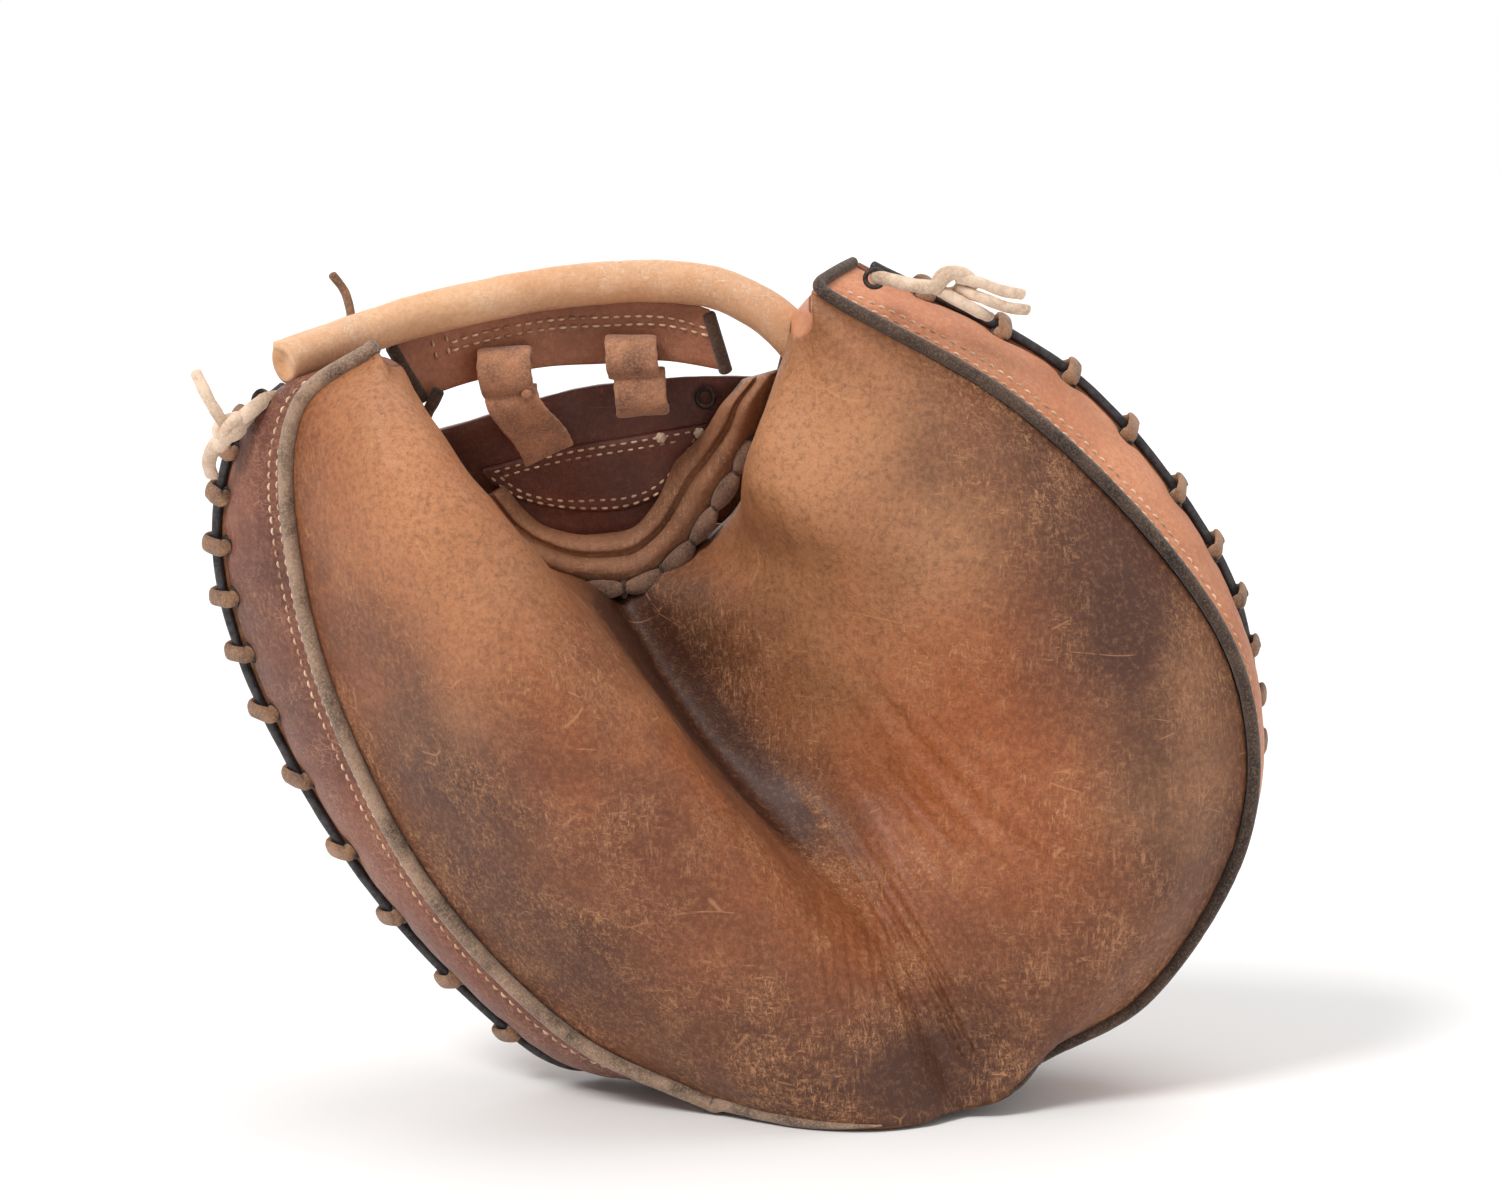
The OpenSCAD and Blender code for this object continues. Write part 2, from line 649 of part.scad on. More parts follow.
// Direction that the snap faces
snap_out = cross([0, 0.35, 0.93], curve(strap_line, 0.85) - curve(strap_line, 0.95));
sewn_up = [0.36, 0.32, 0.88];
strap_up = [0, 0.35, 0.93];

module wrist_strap() {
    color([0.5, 0.31, 0.2])
        ribbon(strap_line, sewn_up, strap_up, strap_w, leather_t);
}

// Fleece pad under the middle of the wrist strap
module wrist_fleece() {
    fleece_t = 5;
    drop = [0, -fleece_t / 2 - leather_t / 2 - 1, 0];
    short = [for (i = [0:4]) curve(strap_line, mix(0.54, 0.8, i / 4)) + drop];
    color([0.9, 0.86, 0.78])
        ribbon(short, mix(sewn_up, strap_up, 0.4), strap_up, strap_w - 4, fleece_t);
}

module strap_tab() {
    color([0.5, 0.31, 0.2])
        ribbon(tab_line, [-0.3, 0.4, 0.85], strap_up, strap_w - 6, leather_t);
}

module snap_cap() {
    color([0.75, 0.62, 0.35])
        facing(curve(strap_line, 0.9) + [0, leather_t / 2 + 1.4, 0], snap_out) {
            cylinder(h = 1.2, d = snap_d, $fn = 40);
            translate([0, 0, 1.2])
                cylinder(h = 1, d = snap_d - 4, $fn = 40);
        }
}

module snap_stud() {
    color([0.75, 0.62, 0.35])
        facing(curve(tab_line, 0.82) + [0, leather_t / 2 + 0.9, 0], snap_out)
            cylinder(h = 0.8, d = snap_d - 6, $fn = 40);
}

// Leather loop over the little finger side of the back
module little_finger_loop() {
    line = [for (v = [0.24, 0.32, 0.4]) back_at(finger_lobe, 0.36, v, -2.8)];
    color([0.45, 0.3, 0.2])
        ribbon(line, [0.2, 0.1, 1], [0.1, 0.1, 1], 14, 2);
}

palm_leather_thumb();
palm_leather_finger();
palm_crease_strip();
thumb_pad();
finger_pad();
heel_pad_thumb();
heel_pad_finger();
heel_roll();
hand_lining_thumb();
hand_lining_finger();
back_shell_thumb();
back_shell_finger();
side_wall_thumb();
side_wall_finger();
tip_cap_thumb();
tip_cap_finger();
piping_thumb();
piping_finger();
rim_cord_thumb();
rim_cord_finger();
edge_lacing_thumb();
edge_lacing_finger();
eyelets_thumb();
eyelets_finger();
web_bar();
web_band();
web_panel();
half_moon_patch();
loop_strap_left();
loop_strap_right();
crotch_binding();
crotch_lacing();
thumb_knot();
finger_knot();
tip_lace_end();
web_lace_end();
finger_stall();
thumb_stall();
wrist_strap();
wrist_fleece();
strap_tab();
snap_cap();
snap_stud();
little_finger_loop();
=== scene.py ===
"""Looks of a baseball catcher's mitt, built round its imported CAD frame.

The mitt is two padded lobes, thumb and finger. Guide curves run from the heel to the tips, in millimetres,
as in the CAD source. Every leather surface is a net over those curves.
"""
import math

import bpy
import numpy as np
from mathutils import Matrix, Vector, noise


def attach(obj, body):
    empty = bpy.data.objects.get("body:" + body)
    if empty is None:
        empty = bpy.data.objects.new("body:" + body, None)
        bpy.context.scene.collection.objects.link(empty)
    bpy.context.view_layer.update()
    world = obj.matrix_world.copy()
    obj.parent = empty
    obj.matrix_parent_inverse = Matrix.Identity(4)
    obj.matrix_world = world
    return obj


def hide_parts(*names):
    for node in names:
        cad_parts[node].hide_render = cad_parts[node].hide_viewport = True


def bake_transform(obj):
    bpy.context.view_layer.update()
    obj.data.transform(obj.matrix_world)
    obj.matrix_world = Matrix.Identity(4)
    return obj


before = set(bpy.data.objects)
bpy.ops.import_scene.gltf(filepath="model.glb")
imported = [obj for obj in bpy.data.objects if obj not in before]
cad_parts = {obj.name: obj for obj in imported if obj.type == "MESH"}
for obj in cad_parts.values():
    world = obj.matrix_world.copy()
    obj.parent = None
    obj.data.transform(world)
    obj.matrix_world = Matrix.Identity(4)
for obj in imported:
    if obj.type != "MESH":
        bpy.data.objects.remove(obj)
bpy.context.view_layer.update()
MM = 0.001

# ---------------------------------------------------------------- camera, lights and floor

CAMERA_AT = Vector((0.004, -1.2873, 0.3309))
CAMERA_AIM = Vector((0.004, 0.0, 0.150))


def stage():
    scene = bpy.context.scene
    camera = bpy.data.objects.new("camera", bpy.data.cameras.new("camera"))
    camera.data.lens = 107.64
    camera.data.sensor_width = 36
    camera.data.dof.use_dof = False
    camera.location = CAMERA_AT
    camera.rotation_euler = (CAMERA_AIM - CAMERA_AT).to_track_quat("-Z", "Y").to_euler()
    scene.collection.objects.link(camera)
    scene.camera = camera

    scene.view_settings.view_transform = "Standard"
    world = bpy.data.worlds.new("world")
    scene.world = world
    world.use_nodes = True
    nodes, links = world.node_tree.nodes, world.node_tree.links
    nodes["Background"].inputs["Color"].default_value = (1.0, 1.0, 1.0, 1)
    path = nodes.new("ShaderNodeLightPath")
    strength = nodes.new("ShaderNodeMapRange")
    strength.inputs["To Min"].default_value = 0.52
    strength.inputs["To Max"].default_value = 1.0
    links.new(path.outputs["Is Camera Ray"], strength.inputs["Value"])
    links.new(strength.outputs["Result"], nodes["Background"].inputs["Strength"])

    def sun(name, place, strength, angle):
        lamp = bpy.data.lights.new(name, "SUN")
        lamp.energy = strength
        lamp.angle = math.radians(angle)
        o = bpy.data.objects.new(name, lamp)
        o.rotation_euler = (-Vector(place)).to_track_quat("-Z", "Y").to_euler()
        scene.collection.objects.link(o)

    sun("key_light", (-0.8, -0.8, 1.25), 2.1, 20)
    sun("top_light", (0.3, 0.3, 1.3), 1.05, 50)
    sun("fill_light", (1.2, -0.7, 0.5), 0.35, 50)
    sun("back_light", (-0.3, 1.2, 0.6), 0.6, 40)

    bpy.ops.mesh.primitive_plane_add(size=12)
    floor = bpy.context.object
    floor.name = "floor"
    m = bpy.data.materials.new("pale_floor")
    m.use_nodes = True
    shader = m.node_tree.nodes["Principled BSDF"]
    shader.inputs["Base Color"].default_value = (0.86, 0.85, 0.84, 1)
    shader.inputs["Roughness"].default_value = 0.75
    floor.data.materials.append(m)


stage()

# ---------------------------------------------------------------- guide curves, in millimetres

THUMB_FRONT = np.array([
    [[-6, -12, 4], [-49, -3, 23], [-90, 0, 66], [-117, 0, 121], [-128, -2, 171], [-125, -5, 206],
     [-103, -5, 223]],
    [[20, -28, 1.5], [-25, -28, 38], [-65, -28, 79], [-94, -28, 128], [-108, -27, 172], [-111, -22, 203],
     [-101, -12, 221]],
    [[40, -32, 1.5], [8, -40, 51], [-38, -48, 97], [-67, -48, 140], [-87, -42, 177], [-99, -30, 203],
     [-99, -12, 219]],
    [[54, -27, 2], [24, -32, 54], [-13, -35, 108], [-40, -35, 144], [-67, -30, 179], [-88, -20, 205],
     [-98, -4, 218]],
    [[61, -21, 3], [34, -22, 52], [-11, 2, 104], [-42, 14, 145], [-73, 16, 172], [-90, 16, 201],
     [-97, 9, 217]],
    [[66, -16, 3], [42, -12, 50], [-8, 41, 98], [-38, 66, 142], [-74, 65, 156], [-89, 54, 184],
     [-97, 25, 214]],
], float)
THUMB_BACK = np.array([
    [[-28, 40, 4], [-58, 26, 10], [-105, 30, 55], [-139, 30, 112], [-152, 26, 158], [-146, 20, 195],
     [-130, 15, 211]],
    [[10, 66, 20], [-22, 62, 42], [-68, 72, 74], [-104, 72, 118], [-124, 60, 156], [-122, 46, 188],
     [-112, 32, 211]],
    [[40, 68, 28], [20, 80, 58], [-9, 86, 100], [-38, 84, 142], [-78, 80, 156], [-94, 66, 186],
     [-100, 38, 211]],
], float)
FINGER_FRONT = np.array([
    [[89, 5, 14], [122, 8, 33], [148, 10, 77], [148, 12, 122], [125, 12, 162], [80, 10, 206], [22, 8, 239]],
    [[84, -8, 10], [108, -10, 38], [128, -10, 79], [126, -8, 120], [105, -6, 156], [67, -2, 196],
     [22, 2, 234]],
    [[80, -14, 7], [92, -14, 45], [104, -12, 83], [98, -6, 120], [83, -4, 152], [53, -2, 187], [22, 4, 229]],
    [[75, -16, 5], [73, -12, 49], [70, -2, 90], [62, 4, 124], [53, 2, 150], [34, 0, 180], [20, 9, 226]],
    [[71, -16, 4], [54, -11, 50], [32, 20, 95], [12, 28, 134], [16, 22, 157], [4, 14, 186], [17, 18, 225]],
    [[66, -16, 3], [42, -12, 50], [-8, 41, 98], [-38, 66, 142], [-12, 64, 158], [4, 58, 179], [16, 40, 229]],
], float)
FINGER_BACK = np.array([
    [[93, 32, 16], [127, 38, 34], [151, 42, 80], [154, 44, 120], [140, 42, 162], [98, 38, 212],
     [36, 28, 246]],
    [[74, 60, 24], [90, 70, 46], [88, 80, 88], [80, 80, 128], [66, 76, 160], [48, 68, 196], [24, 46, 236]],
    [[40, 68, 28], [20, 80, 58], [-9, 86, 100], [-38, 84, 142], [-14, 82, 162], [4, 76, 184], [16, 50, 228]],
], float)
THUMB = (THUMB_FRONT, THUMB_BACK, 1)
FINGER = (FINGER_FRONT, FINGER_BACK, -1)

BAR_LINE = [[-131, 9, 218], [-104, 31, 227], [-79, 41, 233], [-56, 46, 237], [-32, 48, 239], [-10, 46, 238],
            [4, 44, 233], [14, 43, 226], [23, 44, 214]]
BAND_TOP = [[-102, 36, 218], [-79, 44, 226], [-58, 49, 230], [-40, 51, 231], [-22, 50, 231], [-7, 47, 227]]
BAND_BOTTOM = [[-94, 42, 204], [-79, 47, 209], [-58, 51, 213], [-40, 52, 214], [-22, 51, 215], [-2, 48, 212]]
PANEL_TOP = [[-92, 60, 192], [-73, 61, 198], [-54, 62, 204], [-36, 63, 207], [-15, 63, 209], [4, 62, 209],
             [16, 60, 209]]
PANEL_BOTTOM = [[-86, 69, 183], [-70, 71, 169], [-53, 72, 162], [-37, 72, 161], [-20, 71, 167], [-3, 70, 187],
                [14, 66, 198]]
CROTCH_LINE = [[-80, 64, 170], [-70, 66, 158], [-57, 66, 150], [-43, 66, 147], [-30, 66, 148], [-20, 66, 155],
               [-13, 64, 164], [-7, 62, 174], [-1, 60, 183], [3, 57, 192], [6, 53, 202],
               [12, 53, 212]]
CROTCH_STITCHES = [[-57, 61, 148], [-44, 61, 145], [-30, 61, 146], [-19, 61, 153], [-12, 60, 161],
                   [-6, 58, 171],
                   [0, 56, 181], [4, 54, 190]]
# The hand opening in the back, as (x, z)
HAND_HOLE = [[-18, -10], [-22, 30], [-20, 56], [-10, 82], [6, 94], [28, 92], [50, 76], [66, 50], [70, 24],
             [66, -10]]

LEATHER_T = 2.4
PAD_GAP = 1.8
PAD_SHARE = 0.46
HEEL_SHARE = 0.62
WALL_BULGE = 4
WALL_ROWS = (7.4, 4.4)
PIPING_D = 4.4
RIM_CORD_D = 3.2
EDGE_LACE_R = 2.5
EYELET_R = 3.4
BAR_R = 6.3
BARREL_COUNT = 7
WEB_T = 2.6
# Places of the edge lacing along the rims, and how far its holes lie from the piping to the rim
THUMB_PLACES = 0.2 + 0.06 * np.arange(12)
FINGER_PLACES = 0.12 + 0.059 * np.arange(15)
HOLE_SHARE = 0.84

# ---------------------------------------------------------------- curves and nets


def unit(v):
    return v / np.maximum(np.linalg.norm(v, axis=-1, keepdims=True), 1e-9)


def spline(points, s):
    """Smooth curve through points, shaped (n, 2), (n, 3) or (n, K, 3), at s from 0 to 1, shaped (K,)."""
    points = np.asarray(points, float)
    s = np.atleast_1d(np.asarray(s, float))
    n = len(points) - 1
    t = np.clip(s, 0, 1) * n
    i = np.minimum(t.astype(int), n - 1)
    f = (t - i)[:, None]
    more = np.concatenate([2 * points[:1] - points[1:2], points, 2 * points[-1:] - points[-2:-1]])
    if points.ndim == 3:
        k = np.arange(len(s))
        a, b, c, d = (more[i + j, k] for j in range(4))
    else:
        a, b, c, d = (more[i + j] for j in range(4))
    return 0.5 * (2 * b + (c - a) * f + (2 * a - 5 * b + 4 * c - d) * f ** 2
                  + (3 * b - a - 3 * c + d) * f ** 3)


def net(lines, u, v):
    u, v = np.broadcast_arrays(np.asarray(u, float), np.asarray(v, float))
    flat = u.ravel()
    points = spline(np.stack([spline(line, flat) for line in lines]), v.ravel())
    return points.reshape(u.shape + (3,))


def slope_u(lines, u, v):
    return net(lines, np.minimum(u + 0.01, 1), v) - net(lines, np.maximum(u - 0.01, 0), v)


def slope_v(lines, u, v):
    return net(lines, u, np.minimum(v + 0.01, 1)) - net(lines, u, np.maximum(v - 0.01, 0))


def front_at(lobe, u, v, depth):
    inward = unit(np.cross(slope_u(lobe[0], u, v), slope_v(lobe[0], u, v))) * lobe[2]
    return net(lobe[0], u, v) + inward * depth


def back_out(lobe, u, v):
    return unit(np.cross(slope_u(lobe[1], u, v), slope_v(lobe[1], u, v))) * lobe[2]


def back_at(lobe, u, v, depth):
    return net(lobe[1], u, v) - back_out(lobe, u, v) * depth


def inside_at(lobe, u, v, w):
    """A point inside the lobe, from w = 0 under the palm leather to w = 1 inside the back."""
    near = front_at(lobe, u, v, LEATHER_T + PAD_GAP)
    far = back_at(lobe, u, v, LEATHER_T + PAD_GAP)
    return near + (far - near) * np.asarray(w)[..., None]


def wall_out(lobe, u):
    return unit(np.cross(slope_u(lobe[0], u, 0 * u), net(lobe[1], u, 0 * u) - net(lobe[0], u,
                                                                                  0 * u))) * lobe[2]


def wall_at(lobe, u, w, lift):
    """A point on the side wall, from w = 0 at the piping to w = 1 at the rim."""
    u, w = np.broadcast_arrays(np.asarray(u, float), np.asarray(w, float))
    a, b = net(lobe[0], u, 0 * u), net(lobe[1], u, 0 * u)
    out = WALL_BULGE * np.clip(0.3 + 8 * np.minimum(u, 1 - u), 0, 1) * np.sin(np.pi * w) + lift
    return a + (b - a) * w[..., None] + wall_out(lobe, u) * out[..., None]


def wall_width(lobe, u):
    return np.linalg.norm(net(lobe[1], u, 0 * u) - net(lobe[0], u, 0 * u), axis=-1)


def rim_at(lobe, u, outward):
    u = np.asarray(u, float)
    return net(lobe[1], u, 0 * u) + unit(wall_out(lobe, u) + back_out(lobe, u, 0 * u)) * outward


def span(a, b, n):
    return np.linspace(a, b, n)


def mesh_grid(us, vs):
    return np.meshgrid(us, vs, indexing="ij")


def ripple(points, size, seed=0.0):
    """Smooth random height from -1 to 1 at each point, with bumps of about this size in millimetres."""
    shift = Vector((seed * 7.3, seed * 3.1, seed * 5.7))
    flat = points.reshape(-1, 3) / size
    return np.array([noise.noise(Vector(p) + shift) for p in flat]).reshape(points.shape[:-1])


def grid_normals(g):
    return unit(np.cross(np.gradient(g, axis=0), np.gradient(g, axis=1)))


def grid_quads(ids):
    """Four-sided faces over a grid of point numbers."""
    return np.stack([ids[:-1, :-1], ids[1:, :-1], ids[1:, 1:], ids[:-1, 1:]], -1).reshape(-1, 4)


def facing(points, quads, out):
    """The faces, turned if they look against the outward directions of their points."""
    face_out = np.cross(points[quads[:, 1]] - points[quads[:, 0]], points[quads[:, 3]] - points[quads[:, 0]])
    return quads[:, ::-1] if np.sum(face_out * out[quads[:, 0]]) < 0 else quads


def relax(g, times, amount=0.5):
    """Smooths the inside of a grid of points and keeps its border."""
    g = g.copy()
    for _ in range(times):
        mean = (g[2:, 1:-1] + g[:-2, 1:-1] + g[1:-1, 2:] + g[1:-1, :-2]) / 4
        g[1:-1, 1:-1] += (mean - g[1:-1, 1:-1]) * amount
    return g


# ---------------------------------------------------------------- meshes


class Build:
    """Collects points and faces of one piece, in millimetres."""

    def __init__(self):
        self.points = []
        self.faces = []
        self.count = 0

    def add(self, points, faces):
        points = np.asarray(points, float).reshape(-1, 3)
        faces = [tuple(int(i) + self.count for i in f) for f in faces]
        self.points.append(points)
        self.faces.extend(faces)
        self.count += len(points)

    def solid(self, points, faces):
        """Adds a closed part and turns its faces outward."""
        points = np.asarray(points, float).reshape(-1, 3)
        centre = points - points.mean(0)
        volume = sum(np.dot(centre[f[0]], np.cross(centre[f[k]], centre[f[k + 1]]))
                     for f in faces for k in range(1, len(f) - 1))
        self.add(points, faces if volume > 0 else [tuple(reversed(f)) for f in faces])

    def patch(self, points, quads):
        """Adds an open sheet of these faces with only the points that they use, and returns those."""
        used = np.unique(quads)
        renumber = np.full(len(points), -1)
        renumber[used] = np.arange(len(used))
        self.add(points[used], renumber[quads].tolist())
        return used

    def sweep(self, rings):
        """Adds a closed section carried along a path; rings is shaped (path points, section points, 3)."""
        m, k = rings.shape[:2]
        ids = np.arange(m * k).reshape(m, k)
        following = np.roll(ids, -1, 1)
        faces = np.stack([ids[:-1], following[:-1], following[1:], ids[1:]], -1).reshape(-1, 4).tolist()
        self.solid(rings, faces + [ids[0][::-1].tolist(), ids[-1].tolist()])

    def shell(self, top, bottom):
        """Adds a closed solid between two grids of points."""
        m, n = top.shape[:2]
        a = np.arange(m * n).reshape(m, n)
        b = a + m * n
        quads = [grid_quads(a), grid_quads(b)[:, [0, 3, 2, 1]],
                 np.stack([a[:-1, 0], b[:-1, 0], b[1:, 0], a[1:, 0]], -1),
                 np.stack([a[:-1, -1], a[1:, -1], b[1:, -1], b[:-1, -1]], -1),
                 np.stack([a[0, :-1], a[0, 1:], b[0, 1:], b[0, :-1]], -1),
                 np.stack([a[-1, :-1], b[-1, :-1], b[-1, 1:], a[-1, 1:]], -1)]
        self.solid(np.concatenate([top.reshape(-1, 3), bottom.reshape(-1, 3)]),
                   np.concatenate(quads).tolist())

    def tube(self, path, radius, sides=12, flat=1.0, face=None):
        """Adds a tube with domed ends; radius may vary, and flat squeezes it along the direction face."""
        path = np.asarray(path, float)
        radius = np.broadcast_to(np.asarray(radius, float), (len(path),)).copy()
        along = unit(np.gradient(path, axis=0))
        first = [path[0] - along[0] * radius[0] * k for k in (0.55, 0.42, 0.2)]
        last = [path[-1] + along[-1] * radius[-1] * k for k in (0.2, 0.42, 0.55)]
        grow = np.array([0.35, 0.72, 0.94])
        path = np.concatenate([first, path, last])
        radius = np.concatenate([radius[0] * grow, radius, radius[-1] * grow[::-1]])
        along = np.concatenate([np.repeat(along[:1], 3, 0), along, np.repeat(along[-1:], 3, 0)])
        side = np.zeros(path.shape)
        start = np.asarray(face if face is not None else [0.3, 0.9, 0.31], float)
        for i in range(len(path)):
            ref = start if (i == 0 or face is not None) else side[i - 1]
            if face is not None and np.ndim(face) == 2:
                ref = np.asarray(face)[min(i, len(face) - 1)]
            side[i] = unit(ref - along[i] * np.dot(ref, along[i]))
        other = np.cross(along, side)
        turn = 2 * np.pi * np.arange(sides) / sides
        self.sweep(path[:, None] + side[:, None] * (np.cos(turn) * flat)[None, :, None] * radius[:, None,
                                                                                                 None]
                   + other[:, None] * np.sin(turn)[None, :, None] * radius[:, None, None])

    def stitches(self, path, out, pitch=3.4, length=2.3, thick=0.42, sink=0.1):
        """Adds a row of thread stitches along a path; out is the surface's outward direction there."""
        path = np.asarray(path, float)
        step = np.linalg.norm(np.diff(path, axis=0), axis=1)
        place = np.concatenate([[0], np.cumsum(step)])
        count = max(1, int(place[-1] / pitch))
        centres = (np.arange(count) + 0.5) * place[-1] / count
        c = np.stack([np.interp(centres, place, path[:, k]) for k in range(3)], 1)
        o = unit(np.stack([np.interp(centres, place, out[:, k]) for k in range(3)], 1))
        ahead = np.stack([np.interp(centres + 0.4, place, path[:, k]) for k in range(3)], 1)
        behind = np.stack([np.interp(centres - 0.4, place, path[:, k]) for k in range(3)], 1)
        t = unit(ahead - behind)
        b = np.cross(t, o)
        xs = np.array([-0.5, -0.42, -0.2, 0.0, 0.2, 0.42, 0.5]) * length
        rs = np.array([0.25, 0.75, 1.0, 1.08, 1.0, 0.75, 0.25]) * thick
        dip = np.array([-1.1, -0.4, 0.15, 0.3, 0.15, -0.4, -1.1]) * thick
        turn = 2 * np.pi * np.arange(6) / 6
        for k in range(count):
            round_it = o[k] * np.cos(turn)[None, :, None] + b[k] * np.sin(turn)[None, :, None]
            self.sweep(c[k] + t[k] * xs[:, None, None] + o[k] * (dip - sink)[:, None, None]
                       + round_it * rs[:, None, None])

    def ring(self, centre, out, outer, thick, flat=0.7, sides=10, around=28):
        """Adds an eyelet: a torus facing out."""
        out = unit(np.asarray(out, float))
        a = unit(np.cross(out, [0.2, 0.1, 0.97]))
        b = np.cross(out, a)
        turn = 2 * np.pi * np.arange(around) / around
        spin = 2 * np.pi * np.arange(sides) / sides
        radial = a * np.cos(turn)[:, None] + b * np.sin(turn)[:, None]
        rings = (centre + radial[:, None] * (outer - thick + thick * np.cos(spin))[None, :, None]
                 + out * (thick * flat * np.sin(spin))[None, :, None])
        ids = np.arange(around * sides).reshape(around, sides)
        right, up = np.roll(ids, -1, 0), np.roll(ids, -1, 1)
        both = np.roll(right, -1, 1)
        self.solid(rings, np.stack([ids, right, both, up], -1).reshape(-1, 4).tolist())

    def object(self, name, material, slot, tones=None):
        points = np.concatenate(self.points)
        mesh = bpy.data.meshes.new(name)
        mesh.from_pydata((points * MM).tolist(), [], self.faces)
        mesh.validate()
        mesh.polygons.foreach_set("use_smooth", [True] * len(mesh.polygons))
        if tones is not None:
            layer = mesh.color_attributes.new("tone", "FLOAT_COLOR", "POINT")
            colours = np.concatenate([tones.reshape(-1, 3), np.ones((tones.size // 3, 1))], 1)
            layer.data.foreach_set("color", colours.astype(np.float32).ravel())
        mesh.materials.append(material)
        o = bpy.data.objects.new(name, mesh)
        bpy.context.scene.collection.objects.link(o)
        return o


def thicken(o, t):
    """Gives a sheet its thickness, inward from its outer face."""
    m = o.modifiers.new("thickness", "SOLIDIFY")
    m.thickness = t * MM
    m.offset = -1.0
    m.use_rim = True


# ---------------------------------------------------------------- which CAD parts a piece stands for, and the body it rides


def folds(o, *nodes):
    """The piece stands for these CAD nodes, which are hidden, and keeps its shape baked into its points."""
    if nodes:
        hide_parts(*nodes)
    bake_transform(o)
    return o


def rides(o, body, *nodes):
    if nodes:
        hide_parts(*nodes)
    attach(o, body)
    return o


# ---------------------------------------------------------------- materials


class Shader:
    """A node material with short calls for its nodes."""

    def __init__(self, name, roughness=0.6, specular=0.4):
        self.material = bpy.data.materials.new(name)
        self.material.use_nodes = True
        self.tree = self.material.node_tree
        self.bsdf = self.tree.nodes["Principled BSDF"]
        self.bsdf.inputs["Roughness"].default_value = roughness
        self.bsdf.inputs["Specular IOR Level"].default_value = specular
        self.place = self.node("ShaderNodeTexCoord").outputs["Object"]

    def node(self, kind, **sockets):
        n = self.tree.nodes.new(kind)
        for key, value in sockets.items():
            self.put(n.inputs[key], value)
        return n

    def put(self, socket, value):
        if isinstance(value, bpy.types.NodeSocket):
            self.tree.links.new(value, socket)
        elif isinstance(value, tuple) and len(value) == 3 and socket.type == "RGBA":
            socket.default_value = (*value, 1)
        else:
            socket.default_value = value

    def stretched(self, scale, turn=(0, 0, 0)):
        n = self.node("ShaderNodeMapping", Vector=self.place)
        n.inputs["Scale"].default_value = scale
        n.inputs["Rotation"].default_value = turn
        return n.outputs["Vector"]

    def noise(self, scale, detail=4, rough=0.55, bend=0.0, where=None):
        n = self.node("ShaderNodeTexNoise", Vector=where or self.place)
        n.inputs["Scale"].default_value = scale
        n.inputs["Detail"].default_value = detail
        n.inputs["Roughness"].default_value = rough
        n.inputs["Distortion"].default_value = bend
        return n.outputs["Fac"]

    def cells(self, scale, feature="F1", where=None):
        n = self.node("ShaderNodeTexVoronoi", Vector=where or self.place)
        n.feature = feature
        n.inputs["Scale"].default_value = scale
        return n.outputs["Distance"]

    def ramp(self, value, low, high):
        """Maps value from low..high to 0..1, clamped."""
        n = self.node("ShaderNodeMapRange", Value=value)
        n.inputs["From Min"].default_value = low
        n.inputs["From Max"].default_value = high
        return n.outputs["Result"]

    def math(self, kind, a, b=0.0):
        n = self.tree.nodes.new("ShaderNodeMath")
        n.operation = kind
        self.put(n.inputs[0], a)
        self.put(n.inputs[1], b)
        return n.outputs[0]

    def mix(self, share, a, b):
        n = self.tree.nodes.new("ShaderNodeMix")
        n.data_type = "RGBA"
        self.put(n.inputs[0], share)
        self.put(n.inputs[6], a)
        self.put(n.inputs[7], b)
        return n.outputs[2]

    def bump(self, height, distance, strength=1.0):
        n = self.node("ShaderNodeBump", Height=height)
        n.inputs["Distance"].default_value = distance
        n.inputs["Strength"].default_value = strength
        return n.outputs["Normal"]

    def tone(self):
        n = self.tree.nodes.new("ShaderNodeAttribute")
        n.attribute_name = "tone"
        split = self.node("ShaderNodeSeparateColor", Color=n.outputs["Color"])
        return split.outputs[0], split.outputs[1], split.outputs[2]

    def finish(self, colour, roughness, normal):
        self.put(self.bsdf.inputs["Base Color"], colour)
        if roughness is not None:
            self.put(self.bsdf.inputs["Roughness"], roughness)
        self.put(self.bsdf.inputs["Normal"], normal)
        return self.material


def linear(colour):
    """Linear colour from the 0 to 255 values of a display colour."""
    return tuple(c / 255 / 12.92 if c / 255 <= 0.04045 else ((c / 255 + 0.055) / 1.055) ** 2.4
                 for c in colour)


